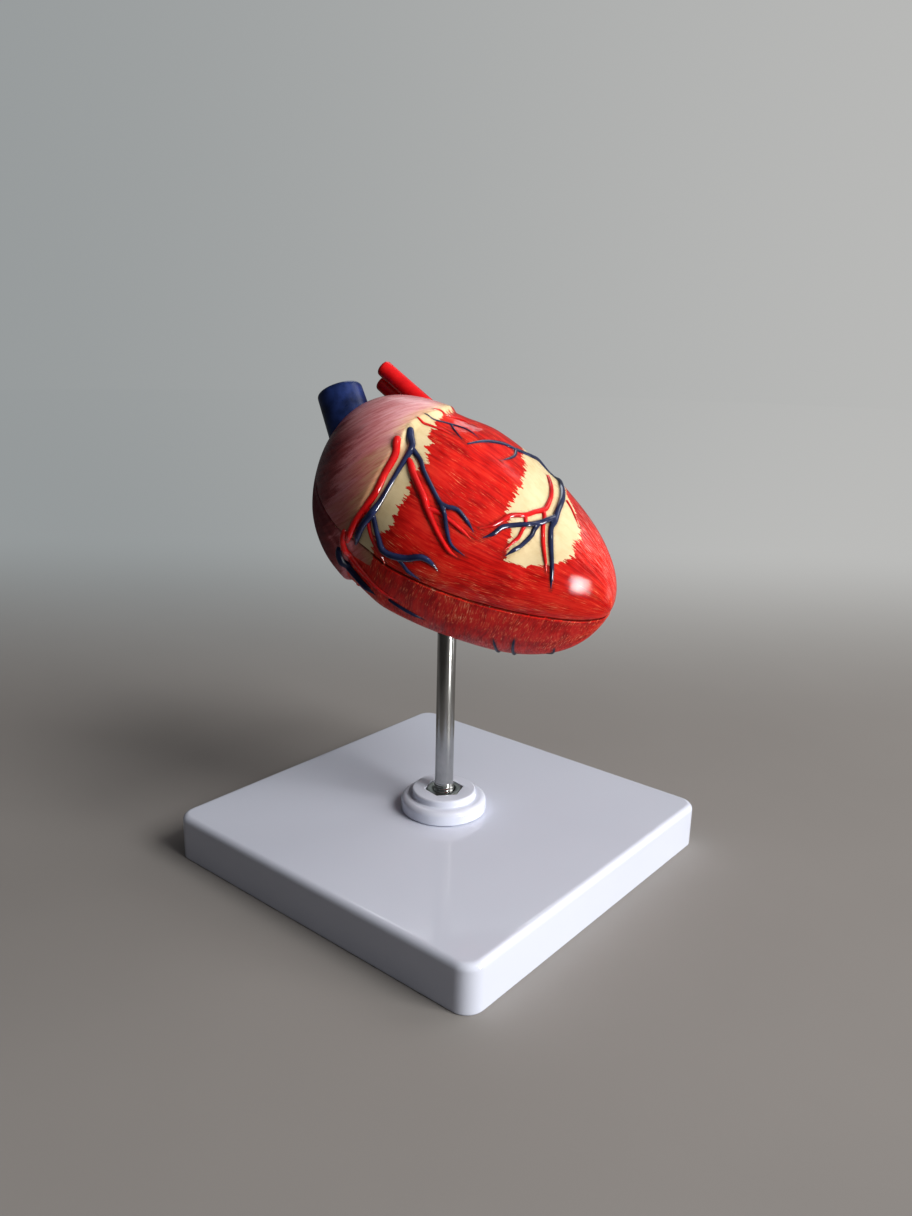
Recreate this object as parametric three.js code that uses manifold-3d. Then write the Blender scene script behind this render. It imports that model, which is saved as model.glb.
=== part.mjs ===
// Animal heart model on a stand: a life-size heart that splits into a front and a back half.
// Millimetres, +Z up. The origin is under the middle of the base, and X and Y run along its edges.
import * as THREE from 'three';
import { mergeVertices } from 'three/addons/utils/BufferGeometryUtils.js';
import Module from 'manifold-3d';

const wasm = await Module();
wasm.setup();

// Clearances
const seatGap = 0.3;
const runningGap = 0.4;
const strandGap = 0.4;

// Base plate, a hollow moulding with ribs underneath
const baseWidth = 150;
const baseHeight = 18;
const baseCornerRadius = 7;
const baseEdgeRadius = 2.5;
const baseWall = 3;
const baseTopWall = 3.5;
const baseRibWidth = 2;
const baseRibLift = 1.5;
const baseBossRadius = 11;
const baseBossDepth = 6.5;

// Stepped collar with a hexagonal pocket for the upper nut
const collarRadius = 17;
const collarLowerHeight = 5.6;
const collarUpperRadius = 12.75;
const collarUpperHeight = 2.8;
const collarShoulderRadius = 2.2;
const collarPocketDepth = 7;

// Rod and its fasteners
const rodRadius = 3.65;
const threadRadius = 4;
const threadDepth = 0.6;
const threadPitch = 1.25;
const threadAboveNut = 3;
const rodBottomLift = 1.2;
const rodShoulderHeight = 92;
const spigotRadius = 2.4;
const spigotLength = 11.7;
const nutAcrossFlats = 13;
const nutHeight = 6.5;
const nutTurn = -10;
const washerRadius = 8;
const washerThickness = 1.6;

// Pivot cap on the rod's spigot, and the socket in the heart that sits on it
const pivotCapWall = 1.4;
const pivotCapRoof = 1.7;
const socketWall = 2.5;

// Heart: its middle over the rod's shoulder, its attitude in degrees, and its length
const heartOverShoulder = 40;
const heartCentre = new THREE.Vector3(5.5, 3.5, rodShoulderHeight + heartOverShoulder);
const heartYaw = 24;
const heartPitch = 26;
const heartTilt = 24;
const heartHalfLength = 61;
const shellWall = 3;

// Reach of the surface on each side of the long axis, with how it grows towards the apex
const nearSide = { reach: 36.5, slope: -0.31, bend: -0.09 };
const farSide = { reach: 41.5, slope: -0.09, bend: -0.26 };
const frontSide = { reach: 33.8, slope: -0.32, bend: 0.39 };
const backSide = { reach: 42.7, slope: -0.07, bend: 0.39 };

// Groove between the atria and the ventricles, and the one over the septum.
// An angle list is where the form starts, is full, is still full and ends, in degrees.
const grooveDepth = 1.6;
const grooveEdge = -31.5;
const grooveEdgeWidth = 3;
const grooveFloor = -26;
const grooveRunOut = 14;
const auricleReach = 4;
const auricleAngles = [15, 55, 75, 105];
const septumGrooveDepth = 0.8;
const septumGrooveHalfWidth = 8;
const septumGrooveStart = 19;
const septumGrooveSlope = 0.14;
const septumGrooveMiddleAngle = 70;
const septumGrooveAngles = [20, 60, 140, 165];
const grooveFullRadius = 15;

// Section insert of each half, with its chambers
const sectionPlate = 4;
const chamberWall = 2.5;
const leftVentricle = { station: 12, across: -11, size: [30, 11, 14] };
const rightVentricle = { station: 2, across: 18, size: [24, 10, 12] };
const leftAtrium = { station: -40, across: -13, size: [10, 10, 11] };
const rightAtrium = { station: -39, across: 15, size: [10, 10, 11] };
const orificeRadius = 6.6;
const orificeWall = 2.4;
const orificeFrom = -34;
const orificeTo = -14;
const mitralAcross = -12;
const tricuspidAcross = 16;
const valveRing = -27;
const valveLength = 10;
const valveThroat = 3.6;
const valveWall = 0.9;
const valveRim = 1.2;
const valveShoulder = 3;
const chordRadius = 0.45;
const muscleRadius = 3.2;

// Locating pegs and magnets on the parting face
const pegRadius = 1.8;
const pegReach = 3;
const pegPlaces = [[15, 4.8], [-25, 2]];
const magnetRadius = 2.6;
const magnetThickness = 2;
const magnetPlaces = [[49, 1], [-46, 1]];

// Facets
const ringAngles = 30;
const axisSteps = 20;
const innerRingAngles = 18;
const innerAxisSteps = 12;
const roundSides = 18;
const strandStep = 4;
const strandSides = 6;
const shortestEdge = 0.03;
const shortestStrandEdge = 0.1;

const colours = {
  white: 0xf1f1f4,
  chrome: 0xc8ccd0,
  steel: 0x9a9ea3,
  muscle: 0xc9241f,
  section: 0xd8695a,
  artery: 0xe01515,
  vein: 0x27325c,
  ivory: 0xe9dcb8,
  magnet: 0x70737a,
};

function material(colour, roughness, metalness) {
  return new THREE.MeshStandardMaterial({ color: colour, roughness, metalness });
}

const finishes = {
  white: material(colours.white, 0.3, 0),
  chrome: material(colours.chrome, 0.15, 1),
  steel: material(colours.steel, 0.4, 1),
  muscle: material(colours.muscle, 0.35, 0),
  section: material(colours.section, 0.45, 0),
  artery: material(colours.artery, 0.3, 0),
  vein: material(colours.vein, 0.3, 0),
  ivory: material(colours.ivory, 0.4, 0),
  magnet: material(colours.magnet, 0.35, 1),
};

// Solids

function toSolid(geometry) {
  const bare = geometry.clone();
  bare.deleteAttribute('normal');
  bare.deleteAttribute('uv');
  const merged = mergeVertices(bare, 1e-4);
  return new wasm.Manifold(new wasm.Mesh({
    numProp: 3,
    vertProperties: new Float32Array(merged.attributes.position.array),
    triVerts: new Uint32Array(merged.index.array),
  }));
}

function toGeometry(solid) {
  const mesh = solid.asOriginal().simplify(shortestEdge).getMesh();
  const geometry = new THREE.BufferGeometry();
  geometry.setAttribute('position', new THREE.BufferAttribute(new Float32Array(mesh.vertProperties), 3));
  geometry.setIndex(new THREE.BufferAttribute(new Uint32Array(mesh.triVerts), 1));
  geometry.computeVertexNormals();
  return geometry;
}

function addMesh(group, name, shape, finish) {
  const solid = shape.isBufferGeometry ? toSolid(shape) : shape;
  const mesh = new THREE.Mesh(toGeometry(solid), finish);
  mesh.name = name;
  group.add(mesh);
}

function boxSolid(low, high) {
  const size = high.map((value, index) => value - low[index]);
  const geometry = new THREE.BoxGeometry(...size);
  geometry.translate(...low.map((value, index) => value + size[index] / 2));
  return toSolid(geometry);
}

// A solid of revolution about +Z from [radius, height] pairs that start and end on the axis
function latheGeometry(profile, sides = roundSides) {
  const points = profile.map(([radius, height]) => new THREE.Vector2(radius, height));
  const geometry = new THREE.LatheGeometry(points, sides);
  geometry.rotateX(Math.PI / 2);
  return geometry;
}

function cylinderSolid(radius, low, high, sides = roundSides) {
  return toSolid(latheGeometry([[0, low], [radius, low], [radius, high], [0, high]], sides));
}

// Turns a shape made about +Z so that +Z runs along a direction from a start point
function aim(geometry, start, direction) {
  const turn = new THREE.Quaternion().setFromUnitVectors(
    new THREE.Vector3(0, 0, 1),
    direction.clone().normalize(),
  );
  geometry.applyQuaternion(turn);
  geometry.translate(start.x, start.y, start.z);
  return geometry;
}

// Stand

function roundedSquare(width, cornerRadius) {
  const half = width / 2;
  const shape = new THREE.Shape();
  shape.moveTo(half, -half + cornerRadius);
  shape.absarc(half - cornerRadius, half - cornerRadius, cornerRadius, 0, Math.PI / 2);
  shape.absarc(-half + cornerRadius, half - cornerRadius, cornerRadius, Math.PI / 2, Math.PI);
  shape.absarc(-half + cornerRadius, -half + cornerRadius, cornerRadius, Math.PI, 1.5 * Math.PI);
  shape.absarc(half - cornerRadius, -half + cornerRadius, cornerRadius, 1.5 * Math.PI, 2 * Math.PI);
  return shape;
}

const rodHoleRadius = threadRadius + runningGap;

function basePlate() {
  const outline = roundedSquare(baseWidth - 2 * baseEdgeRadius, baseCornerRadius - baseEdgeRadius);
  const block = new THREE.ExtrudeGeometry(outline, {
    depth: baseHeight,
    bevelThickness: baseEdgeRadius,
    bevelSize: baseEdgeRadius,
    bevelSegments: 3,
    curveSegments: 5,
  });
  block.translate(0, 0, -baseEdgeRadius);
  const half = baseWidth / 2;
  const below = boxSolid([-half, -half, -2 * baseEdgeRadius], [half, half, 0]);
  const inner = half - baseWall;
  const ceiling = baseHeight - baseTopWall;
  const hollow = boxSolid([-inner, -inner, -1], [inner, inner, ceiling])
    .subtract(boxSolid([-inner, -baseRibWidth / 2, baseRibLift], [inner, baseRibWidth / 2, ceiling]))
    .subtract(boxSolid([-baseRibWidth / 2, -inner, baseRibLift], [baseRibWidth / 2, inner, ceiling]))
    .subtract(cylinderSolid(baseBossRadius, baseHeight - baseBossDepth, ceiling));
  const fasteners = cylinderSolid(baseBossRadius, -1, baseHeight - baseBossDepth);
  return toSolid(block)
    .subtract(below)
    .subtract(hollow)
    .subtract(fasteners)
    .subtract(cylinderSolid(rodHoleRadius, -1, baseHeight + 1));
}

const collarTop = baseHeight + seatGap + collarLowerHeight + collarUpperHeight;
const nutFloor = collarTop - collarPocketDepth;

function hexPrism(acrossFlats, low, high) {
  const cornerRadius = acrossFlats / Math.sqrt(3);
  return cylinderSolid(cornerRadius, low, high, 6).rotate([0, 0, nutTurn]);
}

function rodCollar() {
  const low = baseHeight + seatGap;
  const step = low + collarLowerHeight;
  const profile = [[0, low], [collarRadius, low]];
  const arcSteps = 3;
  for (let index = 0; index <= arcSteps; index += 1) {
    const angle = (index / arcSteps) * Math.PI / 2;
    profile.push([
      collarRadius - collarShoulderRadius * (1 - Math.cos(angle)),
      step - collarShoulderRadius * (1 - Math.sin(angle)),
    ]);
  }
  const lip = collarShoulderRadius / 3;
  profile.push([collarUpperRadius, step]);
  profile.push([collarUpperRadius, collarTop - lip]);
  profile.push([collarUpperRadius - lip, collarTop]);
  profile.push([0, collarTop]);
  return toSolid(latheGeometry(profile, 28))
    .subtract(hexPrism(nutAcrossFlats + 2 * seatGap, nutFloor, collarTop + 1))
    .subtract(cylinderSolid(rodHoleRadius, low - 1, collarTop));
}

function nut(low) {
  return hexPrism(nutAcrossFlats, low, low + nutHeight)
    .subtract(cylinderSolid(threadRadius + runningGap, low - 1, low + nutHeight + 1));
}

const upperNutLow = nutFloor + seatGap;
const washerTop = baseHeight - baseBossDepth - seatGap;
const lowerNutTop = washerTop - washerThickness - seatGap;
const rodBottom = rodBottomLift;

function washer() {
  return cylinderSolid(washerRadius, washerTop - washerThickness, washerTop)
    .subtract(cylinderSolid(threadRadius + runningGap, washerTop - washerThickness - 1, washerTop + 1));
}

// Threaded at the foot, plain along the shaft, with a thin spigot on top
function supportRod() {
  const threadTop = upperNutLow + nutHeight + threadAboveNut;
  const chamfer = threadDepth;
  const profile = [[0, rodBottom], [threadRadius - chamfer, rodBottom], [threadRadius, rodBottom + chamfer]];
  const visibleFrom = upperNutLow + nutHeight - threadPitch;
  for (let height = visibleFrom; height + threadPitch <= threadTop; height += threadPitch) {
    profile.push([threadRadius, height]);
    profile.push([threadRadius - threadDepth, height + threadPitch / 2]);
  }
  profile.push([rodRadius, threadTop]);
  profile.push([rodRadius, rodShoulderHeight]);
  profile.push([spigotRadius, rodShoulderHeight]);
  profile.push([spigotRadius, rodShoulderHeight + spigotLength]);
  profile.push([0, rodShoulderHeight + spigotLength]);
  return latheGeometry(profile, roundSides);
}

const pivotCapRadius = spigotRadius + seatGap + pivotCapWall;
const pivotCapInside = rodShoulderHeight + spigotLength + seatGap;
const pivotCapTop = pivotCapInside + pivotCapRoof;

function pivotCap() {
  const low = rodShoulderHeight + seatGap;
  return cylinderSolid(pivotCapRadius, low, pivotCapTop)
    .subtract(cylinderSolid(spigotRadius + seatGap, low - 1, pivotCapInside));
}

// Heart surface

function smoothStep(from, to, value) {
  const share = Math.min(1, Math.max(0, (value - from) / (to - from)));
  return share * share * (3 - 2 * share);
}

function fadeOver([start, full, still, end], angle) {
  return smoothStep(start, full, angle) * (1 - smoothStep(still, end, angle));
}

function reachAt(side, along, inset) {
  const swell = 1 + side.slope * along + side.bend * along * along;
  return (side.reach - inset) * Math.sqrt(1 - along * along) * swell;
}

// How far the two grooves draw the outer surface in, at a station in mm and an angle in degrees
function grooveAt(station, angle) {
  const auricle = auricleReach * fadeOver(auricleAngles, angle);
  const edge = grooveEdge + auricle;
  const atria = smoothStep(edge, edge + grooveEdgeWidth, station)
    * (1 - smoothStep(grooveFloor + auricle, grooveFloor + auricle + grooveRunOut, station));
  const middle = septumGrooveStart + septumGrooveSlope * (angle - septumGrooveMiddleAngle);
  const offset = Math.min(1, Math.abs(station - middle) / septumGrooveHalfWidth);
  const septum = fadeOver(septumGrooveAngles, angle) * (0.5 + 0.5 * Math.cos(Math.PI * offset));
  return grooveDepth * atria + septumGrooveDepth * septum;
}

// A point in the heart's own frame: x along its length towards the apex, y across to the far side,
// z out of the front half. Angle 0 is the far side, 90 the front, 180 the near side, 270 the back.
function surfacePoint(along, angle, inset = 0) {
  const turn = THREE.MathUtils.degToRad(angle);
  const across = Math.cos(turn) * reachAt(Math.cos(turn) > 0 ? farSide : nearSide, along, inset);
  const outward = Math.sin(turn) * reachAt(Math.sin(turn) > 0 ? frontSide : backSide, along, inset);
  const station = along * (heartHalfLength - inset);
  const radius = Math.hypot(across, outward);
  const share = Math.min(1, radius / grooveFullRadius);
  const groove = inset === 0 && radius > 1 ? grooveAt(station, angle) * share : 0;
  const drawn = groove > 0 ? 1 - groove / radius : 1;
  return new THREE.Vector3(station, across * drawn, outward * drawn);
}

function surfaceNormal(along, angle) {
  const step = 0.002;
  const lengthwise = surfacePoint(Math.min(along + step, 0.999), angle)
    .sub(surfacePoint(Math.max(along - step, -0.999), angle));
  const around = surfacePoint(along, angle + 0.3).sub(surfacePoint(along, angle - 0.3));
  return lengthwise.cross(around).normalize().negate();
}

function evenStations(steps) {
  const list = [];
  for (let step = 1; step < steps; step += 1) {
    list.push(-Math.cos((Math.PI * step) / steps));
  }
  return list;
}

// Stations of the outside, closer together where the groove behind the atria is
function outsideStations() {
  const list = evenStations(axisSteps);
  const last = grooveFloor + auricleReach;
  const count = Math.round((last - grooveEdge) / (grooveEdgeWidth / 2));
  const span = last - grooveEdge;
  const rim = Array.from({ length: count + 1 }, (_, step) => grooveEdge + (span * step) / count);
  const clear = grooveEdgeWidth / 2;
  const kept = list.filter((along) => {
    const station = along * heartHalfLength;
    return station < grooveEdge - clear || station > last + clear;
  });
  return kept.concat(rim.map((station) => station / heartHalfLength)).sort((a, b) => a - b);
}

// A closed surface around the long axis, inset from the outside by a wall
function heartSolid(inset, stations, angles) {
  const positions = [];
  const faces = [];
  const endReach = heartHalfLength - inset;
  stations.forEach((along) => {
    for (let step = 0; step < angles; step += 1) {
      positions.push(...surfacePoint(along, (360 * step) / angles, inset).toArray());
    }
  });
  const blunt = positions.length / 3;
  positions.push(-endReach, 0, 0);
  positions.push(endReach, 0, 0);
  for (let step = 0; step < angles; step += 1) {
    const next = (step + 1) % angles;
    faces.push(blunt, next, step);
    for (let ring = 0; ring + 1 < stations.length; ring += 1) {
      const low = ring * angles;
      const high = low + angles;
      faces.push(low + step, low + next, high + next, low + step, high + next, high + step);
    }
    const last = (stations.length - 1) * angles;
    faces.push(blunt + 1, last + step, last + next);
  }
  const geometry = new THREE.BufferGeometry();
  geometry.setAttribute('position', new THREE.Float32BufferAttribute(positions, 3));
  geometry.setIndex(faces);
  return toSolid(geometry);
}

const bodySpan = 2 * heartHalfLength;
const frontSpace = boxSolid([-bodySpan, -bodySpan, seatGap / 2], [bodySpan, bodySpan, bodySpan]);
const backSpace = boxSolid([-bodySpan, -bodySpan, -bodySpan], [bodySpan, bodySpan, -seatGap / 2]);

const heart = new THREE.Group();
heart.position.copy(heartCentre);
heart.setRotationFromMatrix(heartTurn());
heart.updateMatrixWorld(true);
const intoHeart = heart.matrixWorld.clone().invert();

function heartTurn() {
  const yaw = THREE.MathUtils.degToRad(heartYaw);
  const pitch = THREE.MathUtils.degToRad(heartPitch);
  const tilt = THREE.MathUtils.degToRad(heartTilt);
  const lengthwise = new THREE.Vector3(
    Math.cos(yaw) * Math.cos(pitch),
    Math.sin(yaw) * Math.cos(pitch),
    -Math.sin(pitch),
  );
  const level = new THREE.Vector3(-Math.sin(yaw), Math.cos(yaw), 0);
  const upright = lengthwise.clone().cross(level);
  const across = level.multiplyScalar(Math.cos(tilt)).addScaledVector(upright, Math.sin(tilt));
  const outward = lengthwise.clone().cross(across);
  return new THREE.Matrix4().makeBasis(lengthwise, across, outward);
}

const outside = heartSolid(0, outsideStations(), ringAngles);
const grown = heartSolid(-seatGap, evenStations(axisSteps), ringAngles);
const cavity = heartSolid(shellWall, evenStations(innerAxisSteps), innerRingAngles);
const core = heartSolid(shellWall + seatGap, evenStations(innerAxisSteps), innerRingAngles);
const shell = outside.subtract(cavity);

// A cylinder about the rod's axis, in the heart's frame
function rodLine(radius, low, high) {
  const geometry = latheGeometry([[0, low], [radius, low], [radius, high], [0, high]]);
  geometry.applyMatrix4(intoHeart);
  return toSolid(geometry);
}

const socketBore = pivotCapRadius + runningGap;
const socketInside = pivotCapTop + seatGap;
const socketTop = socketInside + socketWall;

function rodSocket() {
  const below = rodShoulderHeight - 30;
  return rodLine(socketBore + socketWall, below, socketTop)
    .intersect(core)
    .subtract(rodLine(socketBore, below - 1, socketInside));
}

// Section inserts

function ellipsoid(chamber, extra) {
  const geometry = new THREE.SphereGeometry(1, 16, 8);
  geometry.scale(...chamber.size.map((value) => value + extra));
  geometry.translate(chamber.station, chamber.across, 0);
  return toSolid(geometry);
}

function orifice(across, radius, from, to) {
  const geometry = latheGeometry([[0, 0], [radius, 0], [radius, to - from], [0, to - from]], 20);
  aim(geometry, new THREE.Vector3(from, across, 0), new THREE.Vector3(1, 0, 0));
  return toSolid(geometry);
}

function faceHole([station, across], radius, low, high) {
  const geometry = latheGeometry([[0, low], [radius, low], [radius, high], [0, high]], 16);
  geometry.translate(station, across, 0);
  return toSolid(geometry);
}

const chambers = [leftVentricle, rightVentricle, leftAtrium, rightAtrium];

function sectionInsert(space, direction) {
  const plate = core.intersect(space)
    .intersect(boxSolid([-bodySpan, -bodySpan, -sectionPlate], [bodySpan, bodySpan, sectionPlate]));
  let walls = plate;
  let hollows = orifice(mitralAcross, orificeRadius, orificeFrom, orificeTo)
    .add(orifice(tricuspidAcross, orificeRadius, orificeFrom, orificeTo));
  walls = walls.add(
    orifice(mitralAcross, orificeRadius + orificeWall, orificeFrom, orificeTo)
      .add(orifice(tricuspidAcross, orificeRadius + orificeWall, orificeFrom, orificeTo))
      .intersect(core)
      .intersect(space),
  );
  chambers.forEach((chamber) => {
    walls = walls.add(ellipsoid(chamber, chamberWall).intersect(core).intersect(space));
    hollows = hollows.add(ellipsoid(chamber, 0));
  });
  let insert = walls.subtract(hollows);
  pegPlaces.forEach((place) => {
    insert = insert.subtract(faceHole(place, pegRadius + seatGap, -2 * sectionPlate, 2 * sectionPlate));
  });
  const pocket = magnetThickness + 2 * seatGap;
  magnetPlaces.forEach((place) => {
    const span = direction > 0 ? [-1, pocket] : [-pocket, 1];
    insert = insert.subtract(faceHole(place, magnetRadius + seatGap, ...span));
  });
  return insert;
}

function magnet(place, direction) {
  const near = seatGap;
  const far = seatGap + magnetThickness;
  return direction > 0
    ? faceHole(place, magnetRadius, near, far)
    : faceHole(place, magnetRadius, -far, -near);
}

// Valve flaps: half a funnel in the orifice, with cords down to the muscle below it
function valve(across, cordEnds) {
  const ring = orificeRadius - seatGap;
  const shoulder = ring - valveWall;
  const profile = [
    [ring, 0],
    [ring, valveRim],
    [shoulder, valveShoulder],
    [valveThroat, valveLength],
    [valveThroat - valveWall, valveLength],
    [shoulder - valveWall, valveShoulder],
    [shoulder, 0],
    [ring, 0],
  ];
  const funnel = latheGeometry(profile, 20);
  aim(funnel, new THREE.Vector3(valveRing, across, 0), new THREE.Vector3(1, 0, 0));
  let flaps = toSolid(funnel).intersect(backSpace);
  const edge = valveRing + valveLength;
  cordEnds.forEach(([offset, depth, end]) => {
    const start = new THREE.Vector3(edge - 0.6, across + offset, depth);
    const run = end.clone().sub(start);
    const cord = latheGeometry([[0, 0], [chordRadius, 0], [chordRadius, run.length()], [0, run.length()]], 5);
    flaps = flaps.add(toSolid(aim(cord, start, run)));
  });
  return flaps;
}

function muscle(chamber, footStation, tip) {
  const foot = new THREE.Vector3(footStation, chamber.across, -chamber.size[2]);
  const run = tip.clone().sub(foot);
  const length = run.length();
  const cone = latheGeometry(
    [[0, 0], [muscleRadius, 0], [muscleRadius * 0.6, length - 1], [muscleRadius * 0.3, length], [0, length]],
    12,
  );
  return toSolid(aim(cone, foot, run)).intersect(ellipsoid(chamber, -seatGap));
}

// Strands: the coronary vessels, rounded ribbons laid on the outside

function strand(waypoints) {
  const path = new THREE.CatmullRomCurve3(
    waypoints.map(([station, angle]) => new THREE.Vector3(station, angle, 0)),
    false,
    'catmullrom',
    0.5,
  );
  const sizes = new THREE.CatmullRomCurve3(
    waypoints.map(([, , halfWidth, lift = 0]) => new THREE.Vector3(halfWidth, lift, 0)),
    false,
    'catmullrom',
    0.5,
  );
  const place = (share) => {
    const { x: station, y: angle } = path.getPoint(share);
    return { along: station / heartHalfLength, angle, point: surfacePoint(station / heartHalfLength, angle) };
  };
  let length = 0;
  const samples = 60;
  for (let index = 0; index < samples; index += 1) {
    length += place(index / samples).point.distanceTo(place((index + 1) / samples).point);
  }
  const steps = Math.max(3, Math.round(length / strandStep));
  const positions = [];
  for (let index = 0; index <= steps; index += 1) {
    const share = index / steps;
    const { along, angle, point } = place(share);
    const { x: halfWidth, y: lift } = sizes.getPoint(share);
    const ahead = place(Math.min(1, share + 0.01)).point;
    const behind = place(Math.max(0, share - 0.01)).point;
    const normal = surfaceNormal(along, angle);
    const side = ahead.sub(behind).cross(normal).normalize();
    for (let corner = 0; corner < strandSides; corner += 1) {
      const turn = (2 * Math.PI * corner) / strandSides;
      const rise = Math.sin(turn) > 0 ? 0.9 : 0.3;
      const height = halfWidth * (0.3 + rise * Math.sin(turn)) + strandGap + lift;
      const corners = point.clone()
        .addScaledVector(side, halfWidth * Math.cos(turn))
        .addScaledVector(normal, height);
      positions.push(...corners.toArray());
    }
  }
  return toSolid(sweptGeometry(positions, strandSides, steps));
}

// Joins rings of points into a closed tube with a fan at each end
function sweptGeometry(positions, sides, steps) {
  const faces = [];
  const last = steps * sides;
  for (let corner = 0; corner < sides; corner += 1) {
    const next = (corner + 1) % sides;
    for (let ring = 0; ring < steps; ring += 1) {
      const low = ring * sides;
      const high = low + sides;
      faces.push(low + corner, high + next, low + next, low + corner, high + corner, high + next);
    }
    if (corner > 0 && corner < sides - 1) {
      faces.push(0, corner, next);
      faces.push(last, last + next, last + corner);
    }
  }
  const geometry = new THREE.BufferGeometry();
  geometry.setAttribute('position', new THREE.Float32BufferAttribute(positions, 3));
  geometry.setIndex(faces);
  return geometry;
}

function vesselTree(branches, space) {
  const joined = branches.map(strand).reduce((whole, branch) => whole.add(branch));
  return joined.intersect(space).asOriginal().simplify(shortestStrandEdge);
}

// A great vessel: a plain stub with a rounded end, cut to the heart's surface and to its own half
function stub(root, tip, rootRadius, tipRadius, space) {
  const start = new THREE.Vector3(...root);
  const run = new THREE.Vector3(...tip).sub(start);
  const length = run.length();
  const round = tipRadius * 0.18;
  const profile = [
    [0, 0],
    [rootRadius, 0],
    [tipRadius, length - round],
    [tipRadius - round * 0.4, length - round * 0.3],
    [tipRadius - round * 1.4, length],
    [0, length],
  ];
  return toSolid(aim(latheGeometry(profile, 24), start, run)).subtract(grown).intersect(space);
}

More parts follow.
